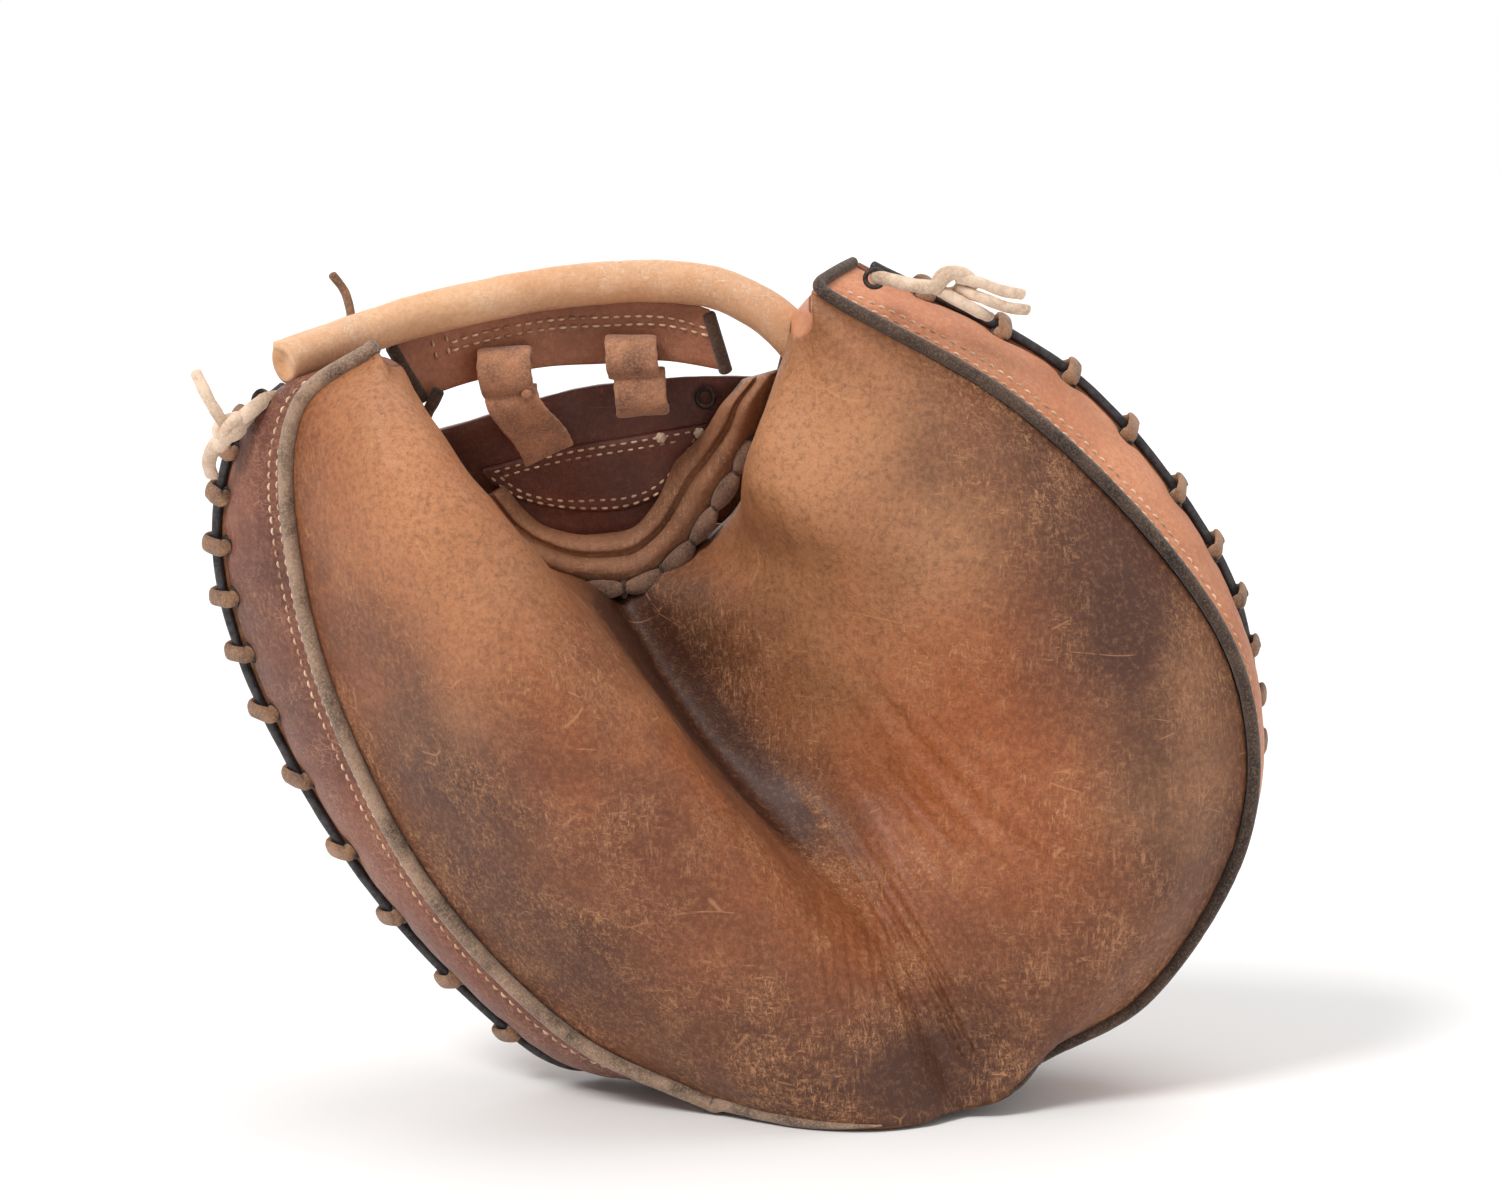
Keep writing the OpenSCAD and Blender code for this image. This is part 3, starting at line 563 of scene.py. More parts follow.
def leather(name, base, dark, light, scuffs=0.5, cracks=0.0, patches=1.0, rough=0.55, grain=1.0, coat=0.0,
            orange=None):
    """Worn leather: broad patches, mottling, pale fibrous scuffs and scratches, fine cracks and a pore grain.

    With orange given, the piece's "tone" colours place its grime and painted shade, its glow and its warm
    patches.
    """
    s = Shader(name, rough, 0.38)
    base, dark, light = linear(base), linear(dark), linear(light)
    broad = s.noise(24, 3, 0.5, 0.4)
    mottle = s.noise(560, 8, 0.75, 0.2)
    fine = s.noise(1500, 5, 0.7)
    colour = s.mix(s.ramp(broad, 0.40, 0.66), base, dark)
    if patches < 1:
        colour = s.mix(1 - patches, colour, base)
    density = s.ramp(s.noise(40, 4, 0.6, 0.4), 0.40, 0.64)
    if orange:
        grime_and_shade, glow, warm = s.tone()
        colour = s.mix(warm, colour, linear(orange))
        colour = s.mix(glow, colour, light)
        # Darker where the red tone is: grime, and painted shade in the crease and along the piping
        colour = s.mix(grime_and_shade, colour, dark)
        density = s.math("MULTIPLY", s.math("ADD", density, s.math("MULTIPLY", grime_and_shade, 0.30)),
                         s.math("SUBTRACT", 1.0, s.math("MULTIPLY", glow, 0.6)))
        density = s.math("MULTIPLY", density, s.ramp(grime_and_shade, 0.97, 0.80))
    colour = s.mix(s.math("MULTIPLY", s.ramp(mottle, 0.48, 0.70), 0.6), colour, dark)
    colour = s.mix(s.math("MULTIPLY", s.ramp(mottle, 0.50, 0.30), 0.22), colour, light)
    fibres = [s.noise(1, 6, 0.72, 0.35, s.stretched(scale, turn)) for scale, turn in (
        ((900, 900, 210), (0.2, 0.75, 0.4)), ((210, 900, 900), (0.5, 0.35, 1.1)),
        ((1200, 1200, 330), (0.0, -0.5, 0.2)))]
    pale = s.ramp(fibres[0], 0.545, 0.63)
    for fibre in fibres[1:]:
        pale = s.math("MAXIMUM", pale, s.ramp(fibre, 0.555, 0.64))
    rubbed = s.math("MULTIPLY", s.ramp(fine, 0.46, 0.62), s.ramp(s.noise(75, 6, 0.7, 0.3), 0.47, 0.62))
    worn = s.math("MINIMUM", s.math("MULTIPLY", s.math("ADD", pale, s.math("MULTIPLY", rubbed, 0.9)),
                                    density), 1.0)
    colour = s.mix(s.math("MULTIPLY", worn, scuffs), colour, light)
    lines = s.cells(1, "DISTANCE_TO_EDGE", s.stretched((16, 60, 62), (0.3, 0.6, 0.2)))
    broken = s.ramp(s.noise(60, 3), 0.60, 0.64)
    scratch = s.math("MULTIPLY", s.ramp(lines, 0.014, 0.004), broken)
    colour = s.mix(s.math("MULTIPLY", scratch, 0.6 * scuffs), colour, light)
    colour = s.mix(s.math("MULTIPLY", s.ramp(fine, 0.50, 0.72), 0.30), colour, dark)
    height = s.math("MULTIPLY", s.cells(1300), 0.35 * grain)
    height = s.math("ADD", height, s.math("MULTIPLY", fine, 0.8 * grain))
    height = s.math("ADD", height, s.math("MULTIPLY", mottle, 0.9))
    if cracks:
        web = s.cells(1, "DISTANCE_TO_EDGE", s.stretched((230, 330, 620), (0.0, 0.2, 0.15)))
        split = s.math("MULTIPLY", s.ramp(web, 0.07, 0.0), s.ramp(s.noise(60, 4), 0.44, 0.62))
        colour = s.mix(s.math("MULTIPLY", split, 0.55 * cracks), colour, light)
        height = s.math("SUBTRACT", height, s.math("MULTIPLY", split, 0.9 * cracks))
    height = s.math("SUBTRACT", height, s.math("MULTIPLY", worn, 0.5))
    normal = s.bump(height, 0.00030, 0.75)
    shine = s.math("ADD", rough - 0.12, s.math("MULTIPLY", mottle, 0.26))
    shine = s.math("ADD", shine, s.math("MULTIPLY", worn, 0.18))
    if coat:
        s.bsdf.inputs["Coat Weight"].default_value = coat
        s.bsdf.inputs["Coat Roughness"].default_value = 0.38
    return s.finish(colour, shine, normal)


def suede(name, base, dark, light, nap=1.0):
    """Rough flesh side of leather, as on laces, loops and the piping."""
    s = Shader(name, 0.9, 0.25)
    base, dark, light = linear(base), linear(dark), linear(light)
    broad = s.noise(90, 4, 0.6)
    nib = s.noise(1500, 5, 0.75)
    colour = s.mix(s.ramp(broad, 0.38, 0.68), base, dark)
    colour = s.mix(s.math("MULTIPLY", s.ramp(nib, 0.46, 0.7), 0.6), colour, light)
    colour = s.mix(s.math("MULTIPLY", s.ramp(s.noise(380, 5, 0.7), 0.54, 0.7), 0.5), colour, dark)
    height = s.math("ADD", nib, s.math("MULTIPLY", s.noise(450, 5, 0.7), 1.4))
    s.bsdf.inputs["Sheen Weight"].default_value = 0.25
    s.bsdf.inputs["Sheen Roughness"].default_value = 0.5
    return s.finish(colour, None, s.bump(height, 0.00035, 0.8 * nap))


def thread(name, base, dark):
    s = Shader(name, 0.8, 0.3)
    twist = s.cells(1, "F1", s.stretched((2600, 2600, 2600)))
    colour = s.mix(s.ramp(s.noise(160, 4), 0.4, 0.65), linear(base), linear(dark))
    return s.finish(colour, None, s.bump(twist, 0.0002, 0.6))


def metal(name, base, dark, rough, metallic):
    s = Shader(name, rough, 0.5)
    s.bsdf.inputs["Metallic"].default_value = metallic
    wear = s.ramp(s.noise(420, 6, 0.7), 0.42, 0.62)
    colour = s.mix(wear, linear(base), linear(dark))
    return s.finish(colour, s.ramp(wear, -1.2, 2.2), s.bump(s.noise(900, 4), 0.00008, 0.5))


def wool(name, base, dark):
    s = Shader(name, 0.95, 0.1)
    curl = s.noise(520, 8, 0.8, 2.0)
    colour = s.mix(s.ramp(curl, 0.35, 0.65), linear(dark), linear(base))
    s.bsdf.inputs["Sheen Weight"].default_value = 0.5
    return s.finish(colour, None, s.bump(curl, 0.0012, 1.0))


PALM = leather("palm_leather", (138, 79, 45), (74, 40, 24), (212, 152, 106), scuffs=0.58,
               rough=0.50, coat=0.09, orange=(160, 84, 38))
WALL_DARK = leather("wall_leather_dark", (128, 72, 52), (84, 46, 36), (204, 152, 120),
                    scuffs=0.45, cracks=0.8, rough=0.46, coat=0.08)
WALL_TAN = leather("wall_leather_tan", (212, 142, 104), (176, 106, 70), (240, 190, 158),
                   scuffs=0.35, cracks=0.2, patches=0.8, rough=0.46, coat=0.08)
BACK = leather("back_leather", (140, 84, 50), (92, 54, 34), (188, 136, 92), scuffs=0.6,
               rough=0.52, coat=0.05)
HEEL = leather("heel_leather", (108, 66, 40), (70, 42, 28), (160, 114, 78), scuffs=0.6)
LINING = leather("lining", (192, 150, 110), (144, 104, 68), (208, 172, 130), scuffs=0.3,
                 rough=0.75, grain=0.8)
BAR = leather("bar_leather", (230, 182, 140), (202, 146, 104), (250, 224, 198), scuffs=0.65,
              patches=0.8, rough=0.48)
BAND = leather("band_leather", (170, 108, 78), (128, 74, 50), (204, 150, 112), scuffs=0.35,
               patches=0.8, rough=0.46, coat=0.05)
PANEL = leather("panel_leather", (118, 64, 48), (80, 44, 34), (162, 104, 80), scuffs=0.35,
                patches=0.9, rough=0.46, coat=0.06)
LIP = leather("binding_leather", (176, 122, 86), (120, 78, 54), (212, 164, 126), scuffs=0.5,
              patches=0.9)
STRAP = leather("strap_leather", (124, 74, 44), (84, 50, 32), (168, 118, 80), scuffs=0.5,
                rough=0.5, coat=0.05)
PIPING_LIGHT = suede("piping_suede", (158, 128, 106), (78, 60, 48), (204, 176, 150))
PIPING_DARK = suede("piping_dark", (76, 58, 48), (36, 27, 24), (142, 118, 98))
LACE = suede("edge_lace", (150, 110, 82), (86, 62, 48), (190, 152, 120), 0.7)
CROTCH_LACE = suede("crotch_lace", (132, 98, 78), (78, 56, 46), (172, 138, 114), 0.6)
LOOP = suede("loop_leather", (178, 124, 92), (112, 76, 58), (212, 166, 132), 0.6)
RAWHIDE = suede("rawhide", (232, 204, 178), (166, 132, 104), (246, 228, 208), 0.9)
CUT = suede("cut_edge", (74, 52, 40), (44, 32, 26), (120, 92, 70), 1.0)
FELT = wool("felt", (222, 212, 190), (190, 178, 156))
FLEECE = wool("fleece", (236, 226, 204), (206, 192, 166))
THREAD = thread("pale_thread", (232, 198, 166), (166, 128, 100))
THREAD_DARK = thread("dark_thread", (160, 118, 84), (110, 78, 56))
RIM = metal("rim_cord", (58, 52, 54), (26, 23, 25), 0.4, 0.0)
EYELET = metal("eyelet_metal", (72, 62, 58), (34, 30, 30), 0.4, 0.8)
BRASS = metal("snap_brass", (190, 160, 100), (120, 94, 56), 0.35, 1.0)

# ---------------------------------------------------------------- palm leather


def wrinkle(points, path, width, depth):
    """Height of a fold along a path in the front view (x, z), fading at its ends."""
    line = spline(np.asarray(path, float), span(0, 1, 20))
    flat = points[..., [0, 2]].reshape(-1, 2)
    near = np.all((flat > line.min(0) - 4 * width) & (flat < line.max(0) + 4 * width), axis=1)
    height = np.zeros(len(flat))
    if near.any():
        p = flat[near]
        a, b = line[:-1], line[1:]
        ab = b - a
        t = np.clip(((p[:, None] - a) * ab).sum(-1) / (ab ** 2).sum(-1), 0, 1)
        d = np.linalg.norm(p[:, None] - (a + ab * t[..., None]), axis=-1)
        k = d.argmin(1)
        row = np.arange(len(p))
        share = (k + t[row, k]) / len(a)
        fade = np.sin(np.pi * np.clip(share, 0.02, 0.98)) ** 0.6
        d = d[row, k] / width
        height[near] = (-depth * np.exp(-d ** 2) + 0.4 * depth * np.exp(-((d - 1.7) / 0.8) ** 2)) * fade
    return height.reshape(points.shape[:-1])


def spots(points, places):
    """Sum of soft spots in the front view; each place is (x, z, radius, strength)."""
    total = np.zeros(points.shape[:-1])
    for x, z, radius, strength in places:
        d2 = (points[..., 0] - x) ** 2 + (points[..., 2] - z) ** 2
        total += strength * np.exp(-d2 / radius ** 2)
    return total


# Folds of the palm leather; those at the heel fan out from the end of the crease
# Each fold is its path in the front view (x, z), its width and its depth
HEEL_FOLDS = [([(18 + 2.7 * k, 84 - 1.2 * k), (21 + 2.9 * k, 66), (23 + 3.4 * k, 46), (24 + 4.0 * k, 24 - k)],
               0.85 + 0.12 * (k % 3), 0.34 + 0.221 * (k % 2)) for k in range(9)]
HEEL_FOLDS += [([(16 + 3.4 * k, 93 + k), (29 + 3.6 * k, 78), (43 + 3.9 * k, 57), (55 + 4.2 * k, 37),
                 (66 + 4.3 * k, 16)], 0.95 + 0.2 * (k % 2), 0.714 - 0.0595 * k + 0.17 * (k % 3))
               for k in range(8)]
HEEL_FOLDS += [([(44 + 5.2 * k, 62 - 5 * k), (55 + 5 * k, 40 - 4 * k), (67 + 4 * k, 14)], 0.8, 0.51)
               for k in range(5)]
HEEL_FOLDS += [([(22, 92), (36, 72), (48, 50), (58, 30), (66, 8)], 5.5, 2.4)]
THUMB_FOLDS = [([(-15 + 2.3 * k, 80 + k), (-16.5 + 2.4 * k, 70), (-17 + 2.5 * k, 60)], 0.75, 0.26)
               for k in range(7)]
THUMB_FOLDS += [([(-1 + 2.2 * k, 92 - k), (4 + 2.2 * k, 80), (8 + 2.4 * k, 66)], 0.7, 0.22) for k in range(6)]
FINGER_FOLDS = [([(36, 128), (50, 110), (66, 93), (86, 77), (112, 62)], 2.6, 0.9),
                ([(44, 130), (58, 112), (76, 96), (98, 80)], 1.8, 0.35),
                ([(9, 190), (11, 176), (16, 160), (22, 146)], 1.8, 0.55),
                ([(14, 190), (16, 178), (22, 165)], 1.5, 0.35),
                ([(24, 150), (30, 136), (40, 122), (52, 108)], 1.6, 0.35),
                ([(56, 92), (74, 76), (92, 60), (106, 52)], 1.1, 0.3),
                ([(70, 62), (82, 50), (92, 36)], 1.6, 0.35)]
FINGER_FOLDS += [([(30 + 2.5 * k, 116 - 3 * k), (44 + 3 * k, 97 - 3 * k), (62 + 3 * k, 79 - 3 * k)], 0.8,
                  0.22)
                 for k in range(6)]

# Where the palm is grimy, pale and warm: (x, z, radius, strength)
GRIME = [(99, 170, 30, 0.70), (119, 144, 24, 0.6), (127, 78, 24, 0.65), (104, 46, 26, 0.6),
         (36, 12, 34, 0.75),
         (66, 16, 26, 0.6), (-12, 20, 26, 0.55), (-42, 47, 26, 0.75), (-70, 70, 26, 0.6), (-86, 104, 22, 0.5),
         (56, 190, 16, 0.35), (-104, 140, 16, 0.35), (80, 196, 20, 0.4), (124, 112, 18, 0.35),
         (70, 60, 18, 0.3),
         (108, 128, 22, 0.35), (114, 100, 20, 0.35), (-30, 96, 12, 0.25), (-16, 70, 14, 0.3),
         (88, 128, 16, 0.25)]
GLOW = [(126, 128, 14, 0.6), (124, 102, 16, 0.7), (128, 84, 12, 0.5), (44, 196, 22, 0.35), (62, 166, 20, 0.3),
        (-92, 176, 22, 0.4), (-74, 148, 18, 0.3), (14, 210, 30, 0.45), (22, 150, 22, 0.3),
        (30, 118, 20, 0.25),
        (-100, 216, 20, 0.4), (-92, 196, 16, 0.2),
        (-60, 168, 20, 0.25), (8, 178, 24, 0.4), (-20, 132, 14, 0.2), (70, 178, 16, 0.25),
        (-78, 120, 12, 0.25),
        (52, 150, 18, 0.25), (118, 92, 12, 0.35)]
WARM = [(76, 100, 44, 0.8), (-24, 64, 34, 0.6), (40, 44, 26, 0.65), (60, 130, 26, 0.5), (-96, 196, 30, 0.8),
        (92, 72, 26, 0.6), (-70, 150, 30, 0.5), (100, 100, 30, 0.6), (-56, 108, 20, 0.3)]
# The crease's line in the front view, where painted shade stands in for the valley's shadow
CREASE_SHADE_LINE = spline(FINGER_FRONT[5, 1:4][:, [0, 2]], span(0, 1, 30))[4:] + [4, 0]


def crease_painted_shade(points):
    """Painted shade down in the deep part of the crease, standing in for the valley's shadow, from 0 to 1."""
    d = np.min([np.hypot(points[..., 0] - x, points[..., 2] - z) for x, z in CREASE_SHADE_LINE], axis=0)
    return 1.3 * np.exp(-(d / 15) ** 2) * np.clip((points[..., 1] + 2) / 22, 0, 1)


def palm():
    rows, cols, edge = 230, 96, 0.012
    us = span(0, 1, rows)
    vs = np.concatenate([span(edge, 0.5, cols // 2), span(0.5, 1, cols - cols // 2 + 1)[1:]])
    u, v = mesh_grid(us, vs)
    thumb = net(THUMB_FRONT, u, v)
    finger = net(FINGER_FRONT, u, v)
    joined = int(round(0.5 * (rows - 1))) + 1
    near_crease = np.clip((vs - 0.8) / 0.2, 0, 1)[None, :, None]
    middle = (thumb[:joined, -1:] + finger[:joined, -1:]) / 2
    thumb[:joined] += (middle - thumb[:joined, -1:]) * near_crease
    finger[:joined] += (middle - finger[:joined, -1:]) * near_crease
    for _ in range(24):
        thumb, finger = relax(thumb, 1), relax(finger, 1)
        seam = (thumb[1:joined - 1, -2] + finger[1:joined - 1, -2]
                + thumb[:joined - 2, -1] + thumb[2:joined, -1]) / 4
        thumb[1:joined - 1, -1] = finger[1:joined - 1, -1] = (thumb[1:joined - 1, -1] + seam) / 2
    heights = []
    for g, sign, folds_here in ((thumb, -1, THUMB_FOLDS), (finger, 1, FINGER_FOLDS)):
        out = grid_normals(g) * sign
        h = 1.1 * ripple(g, 42, 1) + 0.5 * ripple(g, 15, 2) + 0.14 * ripple(g, 5, 3)
        for path, width, depth in folds_here + HEEL_FOLDS:
            h += wrinkle(g, path, width, depth)
        calm = np.clip(v / 0.06, 0, 1) * np.clip(u / 0.02, 0, 1) * np.clip((1 - u) / 0.03, 0, 1)
        heights.append(out * (h * calm)[..., None])
    lift = (heights[0][:joined, -1] + heights[1][:joined, -1]) / 2
    heights[0][:joined, -1] = heights[1][:joined, -1] = lift
    thumb, finger = thumb + heights[0], finger + heights[1]

    points = np.concatenate([thumb.reshape(-1, 3), finger.reshape(-1, 3)])
    ids = np.arange(rows * cols).reshape(rows, cols)
    other = ids + rows * cols
    other[:joined, -1] = ids[:joined, -1]
    out = np.concatenate([(grid_normals(thumb) * -1).reshape(-1, 3), grid_normals(finger).reshape(-1, 3)])
    b = Build()
    used = b.patch(points, np.concatenate([facing(points, grid_quads(g), out) for g in (ids, other)]))
    points = points[used]
    # Red tone: grime spots, plus painted shade along the piping's edge and in the crease
    piping_edge_shade = np.concatenate([np.tile(np.exp(-vs / 0.05), rows)] * 2)[used]
    tones = np.stack([np.clip(spots(points, GRIME) + 0.35 * piping_edge_shade + crease_painted_shade(points), 0, 1),
                      np.clip(spots(points, GLOW), 0, 0.85), np.clip(spots(points, WARM), 0, 0.85)], 1)
    o = b.object("palm_leather", PALM, "palm_leather", tones)
    thicken(o, LEATHER_T)
    folds(o, "palm_leather_thumb", "palm_leather_finger", "palm_crease_strip")


palm()

# ---------------------------------------------------------------- padding, lining and stalls inside


def inner(lobe, w0, w1, u0, u1, v0, v1, m=30, n=24):
    u, v = mesh_grid(span(u0, u1, m), span(v0, v1, n))
    return inside_at(lobe, u, v, np.full(u.shape, w0)), inside_at(lobe, u, v, np.full(u.shape, w1))


def inside():
    for side, lobe in (("thumb", THUMB), ("finger", FINGER)):
        for part, share, u0, u1, v0, v1 in (("pad", PAD_SHARE, 0.27, 0.96, 0.08, 0.9),
                                            ("heel_pad", HEEL_SHARE, 0.02, 0.26, 0.1, 0.93)):
            b = Build()
            b.shell(*inner(lobe, 0.03, share - 0.02, u0, u1, v0, v1))
            name = f"{side}_{part}" if part == "pad" else f"{part}_{side}"
            o = b.object(name, FELT, "felt")
            folds(o, name)
        b = Build()
        top, bottom = inner(lobe, HEEL_SHARE + 0.02, HEEL_SHARE + 0.06, 0.02, 0.7, 0.12, 0.985, 60, 50)
        soft = (0.8 * ripple(top, 16, 8) + 0.3 * ripple(top, 6, 9))[..., None] * [0, 1, 0]
        b.shell(top + soft, bottom + soft)
        folds(b.object(f"hand_lining_{side}", LINING, "lining"), f"hand_lining_{side}")
    for name, lobe, v0, v1 in (("thumb_stall", THUMB, 0.14, 0.74), ("finger_stall", FINGER, 0.1, 0.84)):
        b = Build()
        b.shell(*inner(lobe, HEEL_SHARE + 0.09, HEEL_SHARE + 0.12, 0.52, 0.9, v0, v1))
        b.shell(*inner(lobe, 0.92, 0.95, 0.52, 0.9, v0, v1))
        folds(b.object(name, LINING, "lining"), name)


inside()

# ---------------------------------------------------------------- side walls, tips, piping and seams


def wall_normal(lobe, u, w):
    g = wall_at(lobe, u, w, 0)
    n = grid_normals(g)
    return n if np.sum(n * wall_out(lobe, u)) > 0 else -n


def wall_lumps(points):
    return 0.55 * ripple(points, 26, 11) + 0.28 * ripple(points, 9, 12) + 0.10 * ripple(points, 3.5, 13)


def side_wall(side, lobe, places, material, slot):
    u, w = mesh_grid(span(0, 1, 260), span(0.055, 0.94, 40))
    across = w * wall_width(lobe, u)
    g = wall_at(lobe, u, w, 0)
    seam = sum(0.3 * np.exp(-((across - row) / size) ** 2) for row, size in zip(WALL_ROWS, (0.7, 0.6)))
    pulled = np.zeros(u.shape)
    for at in places:
        pulled += np.exp(-((u - at) / 0.010) ** 2) * np.exp(-((w - HOLE_SHARE) / 0.10) ** 2)
    tuck = 1.1 * np.clip((w - 0.8) / 0.14, 0, 1) ** 2
    n = wall_normal(lobe, u, w)
    top = g + n * (wall_lumps(g) - seam - tuck - 1.0 * pulled)[..., None]
    b = Build()
    b.shell(top, top - n * LEATHER_T)
    folds(b.object(f"side_wall_{side}", material, slot), f"side_wall_{side}")
    for k, (row, thick) in enumerate(zip(WALL_ROWS, (0.42, 0.36))):
        u = span(0.012, 0.985, 500)
        w = row / np.maximum(wall_width(lobe, u), 1)
        path = wall_at(lobe, u, w, 0)
        path = path + wall_out(lobe, u) * (wall_lumps(path) - 0.2)[:, None]
        b = Build()
        b.stitches(path[w < 0.6], wall_out(lobe, u)[w < 0.6], 3.3, 2.4, thick, 0.0)
        folds(b.object(f"wall_stitches_{side}_{k + 1}", THREAD, slot))


def piping(side, lobe, width, material, slot):
    """Piping along the palm's edge. It thins out under the heel, and the finger's goes on round the tip."""
    u = span(0, 1, 420)
    below = span(0.42, 0.02, 40)
    path = np.concatenate([front_at(lobe, 0 * below, below, -0.6) + [0, 0, 0.6],
                           wall_at(lobe, u, 0 * u, PIPING_D / 4)])
    size = np.concatenate([span(0.12, 1.0, 40), np.ones(420)])
    if lobe is FINGER:
        round_tip = wall_at(lobe, np.ones(50), span(0.06, 0.9, 50), 0.4) + [-0.8, 0, 0.3]
        path = np.concatenate([path, round_tip])
        size = np.concatenate([size, span(1.0, 0.8, 50)])
        for _ in range(60):
            path[420:-1] = (path[419:-2] + path[421:] + 2 * path[420:-1]) / 4
    size = size * (1 + 0.05 * ripple(path, 7, 21) + 0.04 * ripple(path, 2.5, 22))
    b = Build()
    b.tube(path, PIPING_D / 2 * width * size, 16)
    folds(b.object(f"piping_{side}", material, slot), f"piping_{side}")


def tip_cap(side, lobe, dome, material, slot):
    """Leather over the end of a lobe; dome is how far it stands out in its middle."""
    v, w = mesh_grid(span(0.02, 0.985, 40), span(0.02, 0.97, 26))
    one = np.ones(v.shape)
    a, c = net(lobe[0], one, v), net(lobe[1], one, v)
    ahead = unit(slope_u(lobe[0], one, v) * (1 - w)[..., None] + slope_u(lobe[1], one, v) * w[..., None])
    rise = 0.4 + dome * np.sin(np.pi * w) ** 0.8 * np.sin(np.pi * np.clip(v, 0.02, 0.98)) ** 0.35
    g = a + (c - a) * w[..., None] + ahead * rise[..., None]
    g = relax(g, 6)
    g = g + ahead * (0.25 * ripple(g, 7, 31))[..., None]
    b = Build()
    b.shell(g, g - ahead * LEATHER_T)
    folds(b.object(f"tip_cap_{side}", material, slot), f"tip_cap_{side}")


side_wall("thumb", THUMB, THUMB_PLACES, WALL_DARK, "wall_leather_dark")
side_wall("finger", FINGER, FINGER_PLACES, WALL_TAN, "wall_leather_tan")
piping("thumb", THUMB, 1.1, PIPING_LIGHT, "piping_suede")
piping("finger", FINGER, 0.9, PIPING_DARK, "piping_dark")
tip_cap("thumb", THUMB, 4.6, WALL_DARK, "wall_leather_dark")
tip_cap("finger", FINGER, 3.0, WALL_TAN, "wall_leather_tan")

# ---------------------------------------------------------------- rim cord, lacing and eyelets


def rim(side, lobe, places, u0, u1):
    """The cord in the rim, and the lacing: out of an eyelet in the wall, over the cord and into the back."""
    u = span(u0, u1, 300)
    b = Build()
    cord = rim_at(lobe, u, 1.0)
    b.tube(cord, RIM_CORD_D / 2 * (1 + 0.12 * ripple(cord, 9, 25)), 12)
    folds(b.object(f"rim_cord_{side}", RIM, "rim_cord"), f"rim_cord_{side}")
    laces, rings = Build(), Build()
    for k, at in enumerate(places):
        spot = np.array([at])
        out = wall_out(lobe, spot)[0]
        back = back_out(lobe, spot, 0 * spot)[0]
        hole = wall_at(lobe, spot, np.array([HOLE_SHARE]), -0.9)[0]
        along = unit(slope_u(lobe[1], spot, 0 * spot))[0]
        slant = 1.6 + 0.7 * math.sin(5.1 * k)
        edge = unit(rim_at(lobe, spot, 1.0)[0] - hole)
        route = [hole - out * 2.0 - edge * 0.8, hole + out * 0.9, hole + out * 2.5 + edge * 1.6,
                 rim_at(lobe, spot + 0.003, RIM_CORD_D / 2 + 2.2)[0] + along * slant + out * 0.6,
                 rim_at(lobe, spot + 0.005, 0.6)[0] + back * 3.4 + along * slant,
                 back_at(lobe, spot + 0.009, np.array([0.10]), -2.6)[0],
                 back_at(lobe, spot + 0.011, np.array([0.135]), -1.2)[0],
                 back_at(lobe, spot + 0.012, np.array([0.155]), 2.0)[0]]
        path = spline(route, span(0, 1, 34))
        middle = (hole + back_at(lobe, spot, np.array([0.1]), 3.0)[0]) / 2
        laces.tube(path, EDGE_LACE_R * (1 + 0.10 * ripple(path, 4, 26 + k)), 12, 0.42, unit(path - middle))
        rings.ring(hole + out * 0.5, out, 3.3, 0.7)
        rings.ring(back_at(lobe, spot + 0.012, np.array([0.155]), -0.3)[0],
                   back_out(lobe, spot, np.array([0.15]))[0], EYELET_R, 0.7)
    folds(laces.object(f"edge_lacing_{side}", LACE, "edge_lace"), f"edge_lacing_{side}")
    folds(rings.object(f"eyelets_{side}", EYELET, "eyelet_metal"), f"eyelets_{side}")


rim("thumb", THUMB, THUMB_PLACES, 0.06, 0.985)
rim("finger", FINGER, FINGER_PLACES, 0.03, 0.99)

# ---------------------------------------------------------------- back


def inside_outline(points, outline):
    """True for points whose (x, z) lies inside the outline."""
    x, z = points[..., 0], points[..., 2]
    result = np.zeros(x.shape, bool)
    x0, z0 = outline[-1]
    for x1, z1 in outline:
        crosses = (z0 > z) != (z1 > z)
        at = (x1 - x0) * (z - z0) / (z1 - z0 + 1e-12) + x0
        result ^= crosses & (x < at)
        x0, z0 = x1, z1
    return result


HOLE_LINE = spline(HAND_HOLE, span(0, 1, 120))
FINGER_RIDGES = (0.16, 0.38, 0.6, 0.82)


def back_height(side, g, u, v):
    """Height of the back: ridges over the fingers or the thumb, and soft lumps."""
    h = 0.7 * ripple(g, 34, 41) + 0.3 * ripple(g, 11, 42) + 0.1 * ripple(g, 4, 43)
    fade = np.clip((u - 0.34) / 0.2, 0, 1) * np.clip((0.96 - u) / 0.1, 0, 1)
    places, width = (FINGER_RIDGES, 0.075) if side == "finger" else ((0.5,), 0.16)
    for place in places:
        h += 2.2 * fade * np.exp(-((v - place) / width) ** 2)
    if side == "finger":
        for place in (0.27, 0.49, 0.71):
            h -= 0.5 * fade * np.exp(-((v - place) / 0.012) ** 2)
    return h * np.clip((v - 0.03) / 0.08, 0, 1)


def back_half(side, lobe):
    """Back leather of one lobe, without the part that the hand opening takes out."""
    u, v = mesh_grid(span(0.03, 1, 210), span(0, 1, 120))
    g = relax(back_at(lobe, u, v, 0), 6)
    out = back_out(lobe, u, v)
    g = g + out * back_height(side, g, u, v)[..., None]
    quads = grid_quads(np.arange(u.size).reshape(u.shape))
    flat = g.reshape(-1, 3)
    quads = quads[~inside_outline(flat[quads].mean(1), HOLE_LINE)]
    b = Build()
    b.patch(flat, facing(flat, quads, out.reshape(-1, 3)))
    o = b.object(f"back_shell_{side}", BACK, "back_leather")
    thicken(o, LEATHER_T)
    folds(o, f"back_shell_{side}")


